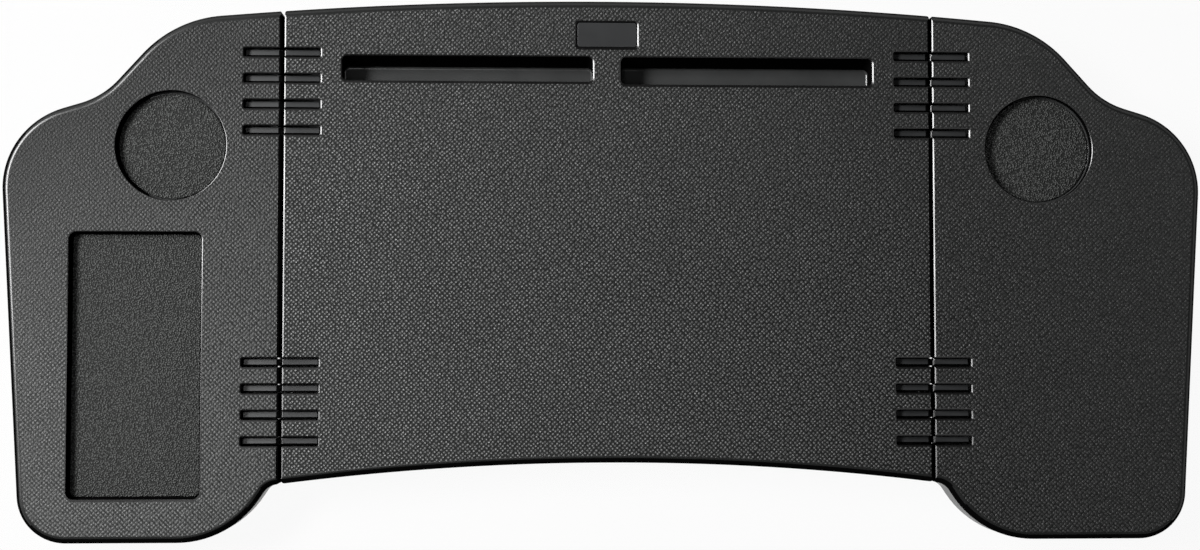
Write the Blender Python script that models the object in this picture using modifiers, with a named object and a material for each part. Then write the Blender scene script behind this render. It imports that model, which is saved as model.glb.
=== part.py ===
"""Steering wheel desk: a folding tray in three panels.

The centre panel hangs on a steering wheel by two rim hooks that swing out from
under it. A wing turns about the seam at each side and folds flat underneath.
Lengths are metres. X runs along the desk, Y from the user to the far edge and Z up.
The origin is the middle of the outline, on the surface that the feet stand on.
"""

import math

import bmesh
import bpy
from mathutils import Matrix, Vector
from mathutils.geometry import convex_hull_2d

# Whole desk
desk_depth = 0.3355
seam_from_middle = 0.202
seam_gap = 0.0016
panel_height = 0.0235
foot_drop = 0.0096

# Clearances and overruns
touch_gap = 0.0003
cover_gap = 0.0004
cut_overrun = 0.003
fuse_depth = 0.0008

# Plan outline, back to front, with its places measured outward from the seam
back_arc_radius = 2.7
back_arc_reach = 0.023
shoulder_reach = 0.0668
shoulder_radius = 0.073
waist_reach = 0.1102
waist_setback = 0.06135
waist_radius = 0.050
side_back_reach = 0.1728
side_back_setback = 0.0805
side_back_radius = 0.051
side_front_reach = 0.1574
side_front_radius = 0.030
leg_reach = 0.030
leg_radius = 0.060
notch_reach = 0.007
notch_radius = 0.011
front_arc_radius = 1.64
front_arc_setback = 0.0481

# Shells and covers
shell_wall = 0.0024
rim_radius = 0.0045
rim_segments = 4
seam_edge_radius = 0.0008
seam_corner_radius = 0.0016
cavity_edge_radius = 0.0018
cover_thickness = 0.0022
cover_chamfer = 0.0006

# Pockets
mouth_edge = 0.0006
slot_inner_end = 0.0083
slot_length = 0.1579
slot_back_from_edge = 0.0355
slot_width = 0.0171
slot_depth = 0.0175
slot_wall_lean = 0.003
slot_corner = 0.0042
slot_floor_radius = 0.0012
cup_out_from_seam = 0.0677
cup_back_from_edge = 0.0920
cup_radius = 0.0340
cup_depth = 0.0055
cup_floor_radius = 0.0016
phone_out_from_seam = 0.0480
phone_width = 0.0809
phone_back_from_edge = 0.1453
phone_length = 0.1633
phone_depth = 0.0060
phone_corner = 0.0045
phone_floor_radius = 0.0016
mat_thickness = 0.0012
mat_edge_gap = 0.0006
badge_width = 0.0400
badge_length = 0.0160
badge_back_from_edge = 0.0135
badge_corner = 0.0020
badge_sink = 0.0008
badge_thickness = 0.0012
badge_edge_gap = 0.0004

# Hinge stations
station_from_edge = 0.0339
station_spacing = 0.19146
rib_pitch = 0.01612
rib_count = 4
window_width = 0.0058
window_reach = 0.02369
window_corner = 0.0011
rib_sink = 0.0043
rib_gap = 0.0007
rib_edge = 0.0005
rib_corner = 0.0008
stop_height = 0.0080
axis_drop = 0.0050
barrel_radius = 0.0042
knuckle_count = 3
leaf_thickness = 0.0024
leaf_inner = 0.0046
leaf_outer = 0.0325
leaf_corner = 0.0030
leaf_chamfer = 0.0005
leaf_overhang = 0.0020
knuckle_root = 0.0070
hinge_pin_radius = 0.00175
pin_head_radius = 0.0030
pin_head_thickness = 0.0010
sleeve_wall = 0.00065

# Screws
screw_head_radius = 0.0027
screw_head_height = 0.0014
screw_shank_radius = 0.0012
screw_length = 0.0092
screw_socket_radius = 0.0011
screw_socket_depth = 0.0008
boss_radius = 0.0034
boss_height = 0.0018
cover_boss_radius = 0.0050
leaf_screw_reach = 0.0280

# Feet and pads
foot_top_radius = 0.0078
foot_bottom_radius = 0.0066
foot_recess = 0.0008
foot_recess_gap = 0.0004
foot_edge = 0.0010
wheel_pad_length = 0.028
wheel_pad_width = 0.012
wheel_pad_thickness = 0.0037
wheel_pad_corner = 0.003
wheel_pad_from_seam = 0.0445
wheel_pad_from_edge = 0.2659
wheel_radius = 0.172
wheel_pad_angle = math.radians(-23.7)

# Rim hooks
hook_pivot_x = 0.082
hook_back_from_edge = 0.0338
hook_length = 0.046
hook_thickness = 0.0078
hook_bar = 0.0070
hook_reach = 0.048
hook_back_arm = 0.0110
hook_lower_arm = 0.0090
hook_tip_short = 0.0030
hook_lip_height = 0.0040
hook_lip_width = 0.0055
hook_lip_corner = 0.0022
hook_corner = 0.0060
hook_inner_corner = 0.0030
hook_edge = 0.0011
hook_pad_thickness = 0.0015
hook_pad_width = 0.0066
hook_pad_from_lip = 0.0030
ear_thickness = 0.0030
hook_pin_radius = 0.0018

# Places in shares of half the centre's width or of the wing's width there, and of half the depth
centre_screw_shares = ((0.30, 0.48), (0.30, -0.55))
centre_foot_shares = ((0.64, 0.78), (0.47, -0.58))
wing_screw_shares = ((0.885, 0.20), (0.89, -0.45))
wing_foot_shares = ((0.835, 0.40), (0.87, -0.82))

# Facets of round faces
round_sides = 12
cup_sides = 36
foot_sides = 12
small_sides = 8
pad_segments = 6
corner_segments = 3
window_segments = 1
floor_segments = 2

# Worked out from the sizes above
half_depth = desk_depth / 2
base_z = foot_drop
top_z = base_z + panel_height
axis_z = base_z - axis_drop
cover_top = base_z + cover_thickness
shell_inner_top = top_z - shell_wall
seam_face = seam_gap / 2
rib_top = top_z - rib_sink
leaf_top = base_z - touch_gap
leaf_bottom = leaf_top - leaf_thickness
case_boss_bottom = cover_top + boss_height + touch_gap
leaf_boss_bottom = cover_top + touch_gap
pocket_floor_drop = mat_thickness + touch_gap
cup_floor = top_z - cup_depth - pocket_floor_drop
phone_floor = top_z - phone_depth - pocket_floor_drop
badge_floor = top_z - badge_sink - badge_thickness - touch_gap
hook_y = half_depth - hook_back_from_edge
station_length = rib_pitch * (rib_count - 1) + window_width + 2 * leaf_overhang

quarter_turn = math.radians(90)
smooth_angle = math.radians(35)
merge_distance = 0.00001
flat_share = 0.99
sides = {"left": -1, "right": 1}
centre, wing = -1, 1
stations = {"rear": 0, "front": 1}

# Colours, roughness and metal of the finishes
shell_finish = ((0.058, 0.060, 0.059), 0.52, 0.0)
cover_finish = ((0.050, 0.051, 0.051), 0.62, 0.0)
smooth_finish = ((0.045, 0.046, 0.047), 0.38, 0.0)
rubber_finish = ((0.040, 0.041, 0.041), 0.85, 0.0)
steel_finish = ((0.55, 0.55, 0.56), 0.32, 1.0)
bronze_finish = ((0.52, 0.38, 0.20), 0.40, 1.0)


def clear_scene():
    for item in list(bpy.data.objects):
        bpy.data.objects.remove(item, do_unlink=True)


def new_collection(name, hidden=False):
    collection = bpy.data.collections.new(name)
    collection.hide_render = hidden
    bpy.context.scene.collection.children.link(collection)
    return collection


def dress(item, look):
    colour, roughness, metallic = look
    material = bpy.data.materials.new(item.name)
    material.use_nodes = True
    shader = material.node_tree.nodes["Principled BSDF"]
    shader.inputs["Base Color"].default_value = (*colour, 1)
    shader.inputs["Roughness"].default_value = roughness
    shader.inputs["Metallic"].default_value = metallic
    item.data.materials.append(material)
    return item


def as_object(bm, name, collection, location=(0, 0, 0), rotation=(0, 0, 0)):
    """Writes a closed form to a new object, smooth between its sharp edges."""
    bmesh.ops.recalc_face_normals(bm, faces=bm.faces)
    mesh = bpy.data.meshes.new(name)
    bm.to_mesh(mesh)
    bm.free()
    mesh.shade_smooth()
    mesh.set_sharp_from_angle(angle=smooth_angle)
    item = bpy.data.objects.new(name, mesh)
    item.location = location
    item.rotation_euler = rotation
    collection.objects.link(item)
    if collection.hide_render:
        item.hide_render = True
        item.display_type = "WIRE"
    return item


def copied(item, name, location):
    """Another object of the same mesh, in the same collection."""
    copy = bpy.data.objects.new(name, item.data)
    copy.location = location
    copy.rotation_euler = item.rotation_euler
    item.users_collection[0].objects.link(copy)
    return copy


def cut(target, cutter, operation="DIFFERENCE"):
    step = target.modifiers.new(cutter.name, "BOOLEAN")
    step.operation = operation
    step.object = cutter
    step.solver = "EXACT"


def fuse(target, addition):
    cut(target, addition, "UNION")


# Outlines


def arc_fall(x, radius):
    """How far an arc has left its apex at a distance x along the tangent there."""
    return radius - math.sqrt(radius ** 2 - x ** 2)


def arc_slope(x, radius):
    return x / math.sqrt(radius ** 2 - x ** 2)


def filleted(before, corner, after, radius, segments):
    """Points of the arc that rounds a corner, each with its normal into a clockwise outline."""
    corner = Vector(corner)
    to_before = (Vector(before) - corner).normalized()
    to_after = (Vector(after) - corner).normalized()
    half = to_before.angle(to_after) / 2
    middle = corner + (to_before + to_after).normalized() * radius / math.sin(half)
    start = corner + to_before * radius / math.tan(half) - middle
    end = corner + to_after * radius / math.tan(half) - middle
    turn = math.atan2(start.x * end.y - start.y * end.x, start.dot(end))
    inward = -1 if turn < 0 else 1
    points = []
    for step in range(segments + 1):
        spoke = Matrix.Rotation(turn * step / segments, 2) @ start
        points.append((middle + spoke, spoke.normalized() * inward))
    return points


def rounded(corners, segments=corner_segments):
    """A closed outline through (x, y, radius) corners, those with a radius filleted."""
    points = []
    for index, (x, y, radius) in enumerate(corners):
        if radius == 0:
            points.append((x, y))
            continue
        before = corners[index - 1][:2]
        after = corners[(index + 1) % len(corners)][:2]
        arc = filleted(before, (x, y), after, radius, segments)
        points += [(point.x, point.y) for point, normal in arc]
    return points


def front_arc_y(x):
    return -(half_depth - front_arc_setback) - arc_fall(x, front_arc_radius)


def desk_corners():
    """The right half's (x, y, radius, segments), from the back arc round to the front arc."""
    seam = seam_from_middle
    arc_end = seam + back_arc_reach
    back_y = half_depth - arc_fall(arc_end, back_arc_radius)
    shoulder_y = back_y - arc_slope(arc_end, back_arc_radius) * (shoulder_reach - back_arc_reach)
    front_y = front_arc_y(seam) - arc_slope(seam, front_arc_radius) * notch_reach
    return [
        (seam + shoulder_reach, shoulder_y, shoulder_radius, 6),
        (seam + waist_reach, half_depth - waist_setback, waist_radius, 4),
        (seam + side_back_reach, half_depth - side_back_setback, side_back_radius, 8),
        (seam + side_front_reach, -half_depth, side_front_radius, 7),
        (seam + leg_reach, -half_depth, leg_radius, 5),
        (seam + notch_reach, front_y, notch_radius, 4),
    ]


def half_outline():
    """Points and inward normals of the right half, clockwise from the back middle."""
    points = []
    back_steps = 6
    front_steps = 6
    arc_end = seam_from_middle + back_arc_reach
    for step in range(back_steps + 1):
        x = arc_end * step / back_steps
        normal = Vector((-arc_slope(x, back_arc_radius), -1)).normalized()
        points.append((Vector((x, half_depth - arc_fall(x, back_arc_radius))), normal))
    corners = desk_corners()
    ends = [points[-1][0]] + [Vector(corner[:2]) for corner in corners]
    ends.append(Vector((seam_from_middle, front_arc_y(seam_from_middle))))
    for index, (x, y, radius, segments) in enumerate(corners):
        points += filleted(ends[index], (x, y), ends[index + 2], radius, segments)
    for step in range(front_steps + 1):
        x = seam_from_middle * (1 - step / front_steps)
        normal = Vector((arc_slope(x, front_arc_radius), 1)).normalized()
        points.append((Vector((x, front_arc_y(x))), normal))
    return points


def desk_outline(inset):
    """The closed outline of the open desk, drawn in by inset."""
    right = [point + normal * inset for point, normal in half_outline()]
    left = [Vector((-point.x, point.y)) for point in reversed(right[1:-1])]
    return [(point.x, point.y) for point in right + left]


def clipped(points, limit, side):
    """The part of a closed outline on one side of the line x = limit."""
    kept = []
    for index, (x, y) in enumerate(points):
        last_x, last_y = points[index - 1]
        inside = side * (x - limit) >= 0
        was_inside = side * (last_x - limit) >= 0
        if inside != was_inside:
            share = (limit - last_x) / (x - last_x)
            kept.append((limit, last_y + share * (y - last_y)))
        if inside:
            kept.append((x, y))
    return kept


def centre_outline(inset=0.0):
    limit = seam_from_middle - seam_face - inset
    return clipped(clipped(desk_outline(inset), limit, -1), -limit, 1)


def wing_outline(side, inset=0.0):
    limit = side * (seam_from_middle + seam_face + inset)
    return clipped(desk_outline(inset), limit, side)


def rectangle(box, radius, segments=corner_segments, inset=0.0):
    """A rectangle with round corners, drawn in by inset."""
    x_low, x_high, y_low, y_high = box
    points = []
    quarters = ((x_high, y_high, -1, -1), (x_low, y_high, 1, -1))
    quarters += ((x_low, y_low, 1, 1), (x_high, y_low, -1, 1))
    for quarter, (x, y, across, along) in enumerate(quarters):
        for step in range(segments + 1):
            angle = quarter_turn * (quarter + step / segments)
            reach_x = (radius - inset) * math.cos(angle)
            reach_y = (radius - inset) * math.sin(angle)
            points.append((x + across * radius + reach_x, y + along * radius + reach_y))
    return points


def circle(x, y, radius, count):
    turns = [math.tau * step / count for step in range(count)]
    return [(x + radius * math.cos(turn), y + radius * math.sin(turn)) for turn in turns]


def grown(box, distance):
    x_low, x_high, y_low, y_high = box
    return x_low - distance, x_high + distance, y_low - distance, y_high + distance


# Solids


def prism(points, low, high):
    """A flat outline given its thickness along Z, as one closed form."""
    curve = bpy.data.curves.new("outline", "CURVE")
    curve.dimensions = "2D"
    curve.fill_mode = "BOTH"
    curve.extrude = (high - low) / 2
    spline = curve.splines.new("POLY")
    spline.points.add(len(points) - 1)
    for point, (x, y) in zip(spline.points, points):
        point.co = (x, y, 0, 1)
    spline.use_cyclic_u = True
    item = bpy.data.objects.new("outline", curve)
    bm = form_of(item)
    for sign in (-1, 1):
        caps = [face for face in bm.faces if face.normal.z * sign > flat_share]
        bmesh.ops.dissolve_faces(bm, faces=caps)
    bmesh.ops.recalc_face_normals(bm, faces=bm.faces)
    return shifted(bm, z=(low + high) / 2)


def form_of(item):
    """The evaluated form of a curve or a profile, welded, with its object removed."""
    bpy.context.scene.collection.objects.link(item)
    graph = bpy.context.evaluated_depsgraph_get()
    mesh = bpy.data.meshes.new_from_object(item.evaluated_get(graph))
    bpy.data.objects.remove(item, do_unlink=True)
    bm = bmesh.new()
    bm.from_mesh(mesh)
    bpy.data.meshes.remove(mesh)
    bmesh.ops.remove_doubles(bm, verts=bm.verts, dist=merge_distance)
    bmesh.ops.recalc_face_normals(bm, faces=bm.faces)
    return bm


def shifted(bm, x=0.0, y=0.0, z=0.0):
    bmesh.ops.translate(bm, verts=bm.verts, vec=(x, y, z))
    return bm


def along_y(bm):
    """Turns a form so that what ran up now runs back, and what ran back now runs up."""
    turn = Matrix.Rotation(quarter_turn, 3, "X")
    bmesh.ops.rotate(bm, verts=bm.verts, matrix=turn)
    return bm


def prism_along_y(points, low, high):
    """An outline in X and Z given its length along Y."""
    half = (high - low) / 2
    return shifted(along_y(prism(points, -half, half)), y=(low + high) / 2)


def cylinder(x, y, radius, low, high, segments=small_sides):
    bm = bmesh.new()
    bmesh.ops.create_cone(
        bm,
        cap_ends=True,
        segments=segments,
        radius1=radius,
        radius2=radius,
        depth=high - low,
    )
    return shifted(bm, x, y, (low + high) / 2)


def cylinder_along_y(x, radius, low, high, segments=round_sides):
    """A cylinder along Y at the height of the joints' axes."""
    half = (high - low) / 2
    bm = along_y(cylinder(0, 0, radius, -half, half, segments))
    return shifted(bm, x, (low + high) / 2, axis_z)


def turned(profile, segments):
    """A solid of revolution about Z from (radius, z) points, listed down its outer side."""
    pairs = [(index, index + 1) for index in range(len(profile) - 1)]
    if profile[0][0] > 0:
        pairs.append((len(profile) - 1, 0))
    mesh = bpy.data.meshes.new("profile")
    mesh.from_pydata([(radius, 0, z) for radius, z in profile], pairs, [])
    item = bpy.data.objects.new("profile", mesh)
    screw = item.modifiers.new("turn", "SCREW")
    screw.steps = segments
    screw.render_steps = segments
    screw.use_merge_vertices = True
    screw.merge_threshold = merge_distance
    return form_of(item)


def loft(rings):
    """A closed form through like outlines, each given as (points, z)."""
    bm = bmesh.new()
    edges = []
    for points, z in rings:
        loop = [bm.verts.new((x, y, z)) for x, y in points]
        ring = [bm.edges.new((loop[index - 1], loop[index])) for index in range(len(loop))]
        edges.append(ring)
    for lower, upper in zip(edges, edges[1:]):
        bmesh.ops.bridge_loops(bm, edges=lower + upper)
    for ring in (edges[0], edges[-1]):
        bmesh.ops.contextual_create(bm, geom=ring)
    return bm


def gathered(forms):
    """Several closed forms in one mesh, for a cutter or for pieces that a union joins."""
    bm = bmesh.new()
    for form in forms:
        mesh = bpy.data.meshes.new("gathered")
        form.to_mesh(mesh)
        form.free()
        bm.from_mesh(mesh)
        bpy.data.meshes.remove(mesh)
    return bm


def level_edges(bm, height, chosen=lambda edge: True):
    """The edges at one height that also pass a test of their own."""
    found = []
    for edge in bm.edges:
        level = all(abs(vert.co.z - height) < merge_distance for vert in edge.verts)
        if level and chosen(edge):
            found.append(edge)
    return found


def round_edges(bm, edges, radius, segments):
    bmesh.ops.bevel(
        bm,
        geom=edges,
        offset=radius,
        offset_type="OFFSET",
        segments=segments,
        profile=0.5,
        affect="EDGES",
        clamp_overlap=False,
    )


# Places that more than one piece uses


def outward(side, half, distance):
    """The x at a distance from a seam, into the wing or the centre."""
    return side * (seam_from_middle + half * distance)


def span(side, half, near, far):
    """The low and the high x between two distances from a seam."""
    ends = (outward(side, half, near), outward(side, half, far))
    return min(ends), max(ends)


def station_ribs(station):
    """The middle of each rib of a hinge station along Y."""
    first = half_depth - station_from_edge - station * station_spacing
    return [first - rib_pitch * index for index in range(rib_count)]


def station_middle(station):
    ribs = station_ribs(station)
    return (ribs[0] + ribs[-1]) / 2


def leaf_screw_places(side, half):
    x = outward(side, half, leaf_screw_reach)
    return [(x, station_middle(station)) for station in stations.values()]


def centre_places(shares):
    reach = seam_from_middle
    return [(side * reach * x, half_depth * y) for x, y in shares for side in sides.values()]


def wing_width(y):
    """How far a wing's straight side is from its seam, at one place along it."""
    share = (y + half_depth) / (desk_depth - side_back_setback)
    return side_front_reach + share * (side_back_reach - side_front_reach)


def wing_places(shares, side):
    places = []
    for x, y in shares:
        across = x * wing_width(half_depth * y)
        places.append((outward(side, wing, across), half_depth * y))
    return places


def cup_place(side):
    return outward(side, wing, cup_out_from_seam), half_depth - cup_back_from_edge


def slot_box(side):
    ends = (side * slot_inner_end, side * (slot_inner_end + slot_length))
    y_high = half_depth - slot_back_from_edge
    return min(ends), max(ends), y_high - slot_width, y_high


def phone_box(side):
    x_low, x_high = span(side, wing, phone_out_from_seam, phone_out_from_seam + phone_width)
    y_high = half_depth - phone_back_from_edge
    return x_low, x_high, y_high - phone_length, y_high


def badge_box():
    y_high = half_depth - badge_back_from_edge
    return -badge_width / 2, badge_width / 2, y_high - badge_length, y_high


# Shells


def mouth_levels():
    """The (inset, z) of a pocket's eased mouth, carried up past the surface."""
    return [(0.0, top_z - mouth_edge), (-mouth_edge - cut_overrun, top_z + cut_overrun)]


def pocket_levels(floor_z, floor_radius):
    """The (inset, z) of a pocket's wall, from its round floor edge to its mouth."""
    levels = []
    for step in range(floor_segments + 1):
        angle = quarter_turn * step / floor_segments
        inset = floor_radius * (1 - math.sin(angle))
        levels.append((inset, floor_z + floor_radius * (1 - math.cos(angle))))
    return levels + mouth_levels()


def pocket(box, corner, floor_z, floor_radius, lean=0.0):
    """A rectangular pocket whose back wall can lean forward towards its floor."""
    x_low, x_high, y_low, y_high = box
    rings = []
    for inset, z in pocket_levels(floor_z, floor_radius):
        depth_share = max(0.0, (top_z - mouth_edge - z) / (top_z - floor_z))
        leaned = (x_low, x_high, y_low, y_high - lean * depth_share)
        rings.append((rectangle(leaned, corner, inset=inset), z))
    return loft(rings)


def tub(points, floor_z):
    """The solid left round a pocket, so that the shell's wall follows it."""
    return prism(points, floor_z - shell_wall, top_z - shell_wall / 2)


def rectangular_tub(box, corner, floor_z):
    points = rectangle(grown(box, shell_wall), corner + shell_wall, 1)
    return tub(points, floor_z)


def window_points(side, half, y, growth):
    """The plan of a rib window, square where it runs out over the seam."""
    near = outward(side, half, -seam_gap)
    far = outward(side, half, window_reach + growth)
    reach = window_width / 2 + growth
    radius = window_corner + growth
    corners = [
        (near, y - reach, 0),
        (far, y - reach, radius),
        (far, y + reach, radius),
        (near, y + reach, 0),
    ]
    return rounded(corners, window_segments)


def windows(side, half):
    """Cutters of the rib windows in one panel's edge, at both of a seam's stations."""
    levels = [(0.0, base_z - cut_overrun)] + mouth_levels()
    forms = []
    for station in stations.values():
        for y in station_ribs(station):
            forms.append(loft([(window_points(side, half, y, -inset), z) for inset, z in levels]))
    return forms


def bosses(places, bottom):
    top = top_z - shell_wall / 2
    return [cylinder(x, y, boss_radius, bottom, top) for x, y in places]


def pilots(places, bottom, head_z):
    """Blind holes from below a boss to just past the screw's end."""
    radius = screw_shank_radius + touch_gap
    end = head_z + screw_length + touch_gap
    return [cylinder(x, y, radius, bottom - cut_overrun, end) for x, y in places]


def panel(points, seams):
    """A panel's outer form: a rolled rim, and fine edges at its seams."""
    bm = prism(points, base_z, top_z)

    def at_seam(edge):
        for line in seams:
            if all(abs(vert.co.x - line) < merge_distance for vert in edge.verts):
                return True
        return False

    rim = level_edges(bm, top_z, lambda edge: not at_seam(edge))
    round_edges(bm, rim, rim_radius, rim_segments)
    round_edges(bm, level_edges(bm, top_z, at_seam), seam_edge_radius, 1)
    return bm


def seam_corners(points, seams):
    """Cutters that round a panel's upright corners where its outline meets a seam."""
    forms = []
    for index, (x, y) in enumerate(points):
        before = points[index - 1]
        after = points[(index + 1) % len(points)]
        trio = (before, (x, y), after)
        on_seam = [any(abs(place[0] - line) < merge_distance for line in seams) for place in trio]
        if not on_seam[1] or on_seam[0] == on_seam[2]:
            continue
        arc = filleted(before, (x, y), after, seam_corner_radius, corner_segments)
        outline = [(point.x, point.y) for point, normal in arc]
        tip = (Vector((x, y)) - (arc[0][0] + arc[-1][0]) / 2).normalized() * cut_overrun
        outline.append((x + tip.x, y + tip.y))
        forms.append(prism(outline, base_z - cut_overrun, top_z + cut_overrun))
    return forms


def build_shell(name, outer, inner, seams, kept, removed, parts, tools):
    """A panel less its cavity, where the kept solids stay, and less what is removed."""
    shell = as_object(panel(outer, seams), name, parts)
    removed = {**removed, "seam_corners": seam_corners(outer, seams)}
    hollow = prism(inner, base_z - cut_overrun, shell_inner_top)
    round_edges(hollow, level_edges(hollow, shell_inner_top), cavity_edge_radius, 1)
    cavity = as_object(hollow, name + "_cavity", tools)
    for word, forms in kept.items():
        cut(cavity, as_object(gathered(forms), name + "_" + word, tools))
    cut(shell, cavity)
    for word, forms in removed.items():
        cut(shell, as_object(gathered(forms), name + "_" + word, tools))
    return dress(shell, shell_finish)


def build_centre_top(parts, tools):
    case_places = centre_places(centre_screw_shares)
    leaf_places = leaf_screw_places(-1, centre) + leaf_screw_places(1, centre)
    slot_floor = top_z - slot_depth
    kept = {
        "tubs": [rectangular_tub(slot_box(side), slot_corner, slot_floor) for side in (-1, 1)],
        "badge_seat": [rectangular_tub(badge_box(), badge_corner, badge_floor)],
        "bosses": bosses(case_places, case_boss_bottom) + bosses(leaf_places, leaf_boss_bottom),
    }
    removed = {
        "slots": [
            pocket(slot_box(side), slot_corner, slot_floor, slot_floor_radius, slot_wall_lean)
            for side in (-1, 1)
        ],
        "badge_recess": [pocket(badge_box(), badge_corner, badge_floor, badge_edge_gap)],
        "windows": windows(-1, centre) + windows(1, centre),
        "pilots": pilots(case_places, case_boss_bottom, base_z)
        + pilots(leaf_places, leaf_boss_bottom, leaf_bottom),
    }
    edge = seam_from_middle - seam_face
    outer = centre_outline()
    inner = centre_outline(shell_wall)
    return build_shell("centre_top", outer, inner, (-edge, edge), kept, removed, parts, tools)


def build_wing_top(name, side, has_phone, parts, tools):
    case_places = wing_places(wing_screw_shares, side)
    leaf_places = leaf_screw_places(side, wing)
    cup_x, cup_y = cup_place(side)
    levels = pocket_levels(cup_floor, cup_floor_radius)
    profile = [(cup_radius - inset, z) for inset, z in reversed(levels)]
    profile = [(0.0, levels[-1][1])] + profile + [(0.0, cup_floor)]
    cup_wall = cup_radius + shell_wall
    tubs = [tub(circle(cup_x, cup_y, cup_wall, cup_sides), cup_floor)]
    pockets = [shifted(turned(profile, cup_sides), cup_x, cup_y)]
    if has_phone:
        box = phone_box(side)
        tubs.append(rectangular_tub(box, phone_corner, phone_floor))
        pockets.append(pocket(box, phone_corner, phone_floor, phone_floor_radius))
    kept = {
        "tubs": tubs,
        "bosses": bosses(case_places, case_boss_bottom) + bosses(leaf_places, leaf_boss_bottom),
    }
    removed = {
        "pockets": pockets,
        "windows": windows(side, wing),
        "pilots": pilots(case_places, case_boss_bottom, base_z)
        + pilots(leaf_places, leaf_boss_bottom, leaf_bottom),
    }
    edge = outward(side, wing, seam_face)
    outer = wing_outline(side)
    inner = wing_outline(side, shell_wall)
    return build_shell(name, outer, inner, (edge,), kept, removed, parts, tools)


# Covers


def case_screw_holes(places):
    """Counterbores for the case screws' heads, with a clearance hole through each boss."""
    narrow = screw_shank_radius + touch_gap
    wide = screw_head_radius + touch_gap
    head_top = base_z + screw_head_height + touch_gap
    boss_top = cover_top + boss_height
    profile = [
        (0.0, boss_top + cut_overrun),
        (narrow, boss_top + cut_overrun),
        (narrow, head_top),
        (wide, head_top),
        (wide, base_z - cut_overrun),
        (0.0, base_z - cut_overrun),
    ]
    return [shifted(turned(profile, small_sides), x, y) for x, y in places]


def build_cover(name, points, case_places, leaf_places, feet, openings, parts, tools):
    bm = prism(points, base_z, cover_top)
    round_edges(bm, level_edges(bm, base_z), cover_chamfer, 1)
    cover = as_object(bm, name, parts)
    boss_bottom = base_z + fuse_depth
    boss_top = cover_top + boss_height
    raised = [cylinder(x, y, cover_boss_radius, boss_bottom, boss_top) for x, y in case_places]
    fuse(cover, as_object(gathered(raised), name + "_bosses", tools))
    clearance = screw_shank_radius + touch_gap
    foot_radius = foot_top_radius + foot_recess_gap
    low = base_z - cut_overrun
    removed = {
        "foot_recesses": [
            cylinder(x, y, foot_radius, low, base_z + foot_recess, foot_sides) for x, y in feet
        ],
        "case_screw_holes": case_screw_holes(case_places),
        "leaf_screw_holes": [
            cylinder(x, y, clearance, low, cover_top + cut_overrun) for x, y in leaf_places
        ],
        "windows": openings,
    }
    for word, forms in removed.items():
        cut(cover, as_object(gathered(forms), name + "_" + word, tools))
    return dress(cover, cover_finish)


def ears(side):
    """The two ears that carry a rim hook's pin."""
    x = side * hook_pivot_x
    steps = round_sides // 2
    turns = [math.pi * (1 + step / steps) for step in range(steps + 1)]
    arc = [(barrel_radius * math.cos(turn), barrel_radius * math.sin(turn)) for turn in turns]
    points = [(x + across, axis_z + up) for across, up in arc]
    points += [(x + barrel_radius, base_z + fuse_depth), (x - barrel_radius, base_z + fuse_depth)]
    forms = []
    for end in (-1, 1):
        near = hook_y + end * (hook_length / 2 + touch_gap)
        far = near + end * ear_thickness
        forms.append(prism_along_y(points, min(near, far), max(near, far)))
    return forms


def build_centre_base(parts, tools):
    cover = build_cover(
        "centre_base",
        centre_outline(shell_wall + cover_gap),
        centre_places(centre_screw_shares),
        leaf_screw_places(-1, centre) + leaf_screw_places(1, centre),
        centre_places(centre_foot_shares),
        windows(-1, centre) + windows(1, centre),
        parts,
        tools,
    )
    fuse(cover, as_object(gathered(ears(-1) + ears(1)), "centre_base_ears", tools))
    reach = hook_length / 2 + ear_thickness + cut_overrun
    radius = hook_pin_radius + touch_gap
    bores = [
        cylinder_along_y(side * hook_pivot_x, radius, hook_y - reach, hook_y + reach)
        for side in (-1, 1)
    ]
    cut(cover, as_object(gathered(bores), "centre_base_pin_bores", tools))
    return cover


def build_wing_base(name, side, parts, tools):
    return build_cover(
        name,
        wing_outline(side, shell_wall + cover_gap),
        wing_places(wing_screw_shares, side),
        leaf_screw_places(side, wing),
        wing_places(wing_foot_shares, side),
        windows(side, wing),
        parts,
        tools,
    )


# Inlays


def inlay(name, points, top, thickness, look, parts):
    bm = prism(points, top - thickness, top)
    round_edges(bm, level_edges(bm, top), touch_gap, 1)
    return dress(as_object(bm, name, parts), look)


def build_badge(parts):
    points = rectangle(badge_box(), badge_corner, inset=badge_edge_gap)
    return inlay("badge_plate", points, top_z - badge_sink, badge_thickness, smooth_finish, parts)


def build_cup_mat(name, side, parts):
    radius = cup_radius - mat_edge_gap - cup_floor_radius / 2
    points = circle(*cup_place(side), radius, cup_sides)
    return inlay(name, points, top_z - cup_depth, mat_thickness, rubber_finish, parts)


def build_phone_mat(name, side, parts):
    inset = mat_edge_gap + phone_floor_radius / 2
    points = rectangle(phone_box(side), phone_corner, inset=inset)
    return inlay(name, points, top_z - phone_depth, mat_thickness, rubber_finish, parts)


# Hinges


def knuckle_spans(station, half):
    """The (low, high) of one leaf's knuckles along the pin, with a running gap at each end."""
    start = station_middle(station) - station_length / 2
    pitch = station_length / knuckle_count
    gap = touch_gap / 2
    first = 0 if half == centre else 1
    return [
        (start + pitch * index + gap, start + pitch * (index + 1) - gap)
        for index in range(first, knuckle_count, 2)
    ]


def knuckle_points(side, half):
    """A barrel drawn out to the leaf's plate, in X and Z."""
    points = circle(outward(side, half, 0), axis_z, barrel_radius, round_sides)
    root = outward(side, half, knuckle_root)
    points += [(root, leaf_top), (root, leaf_bottom)]
    return [points[index] for index in convex_hull_2d(points)]


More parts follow.
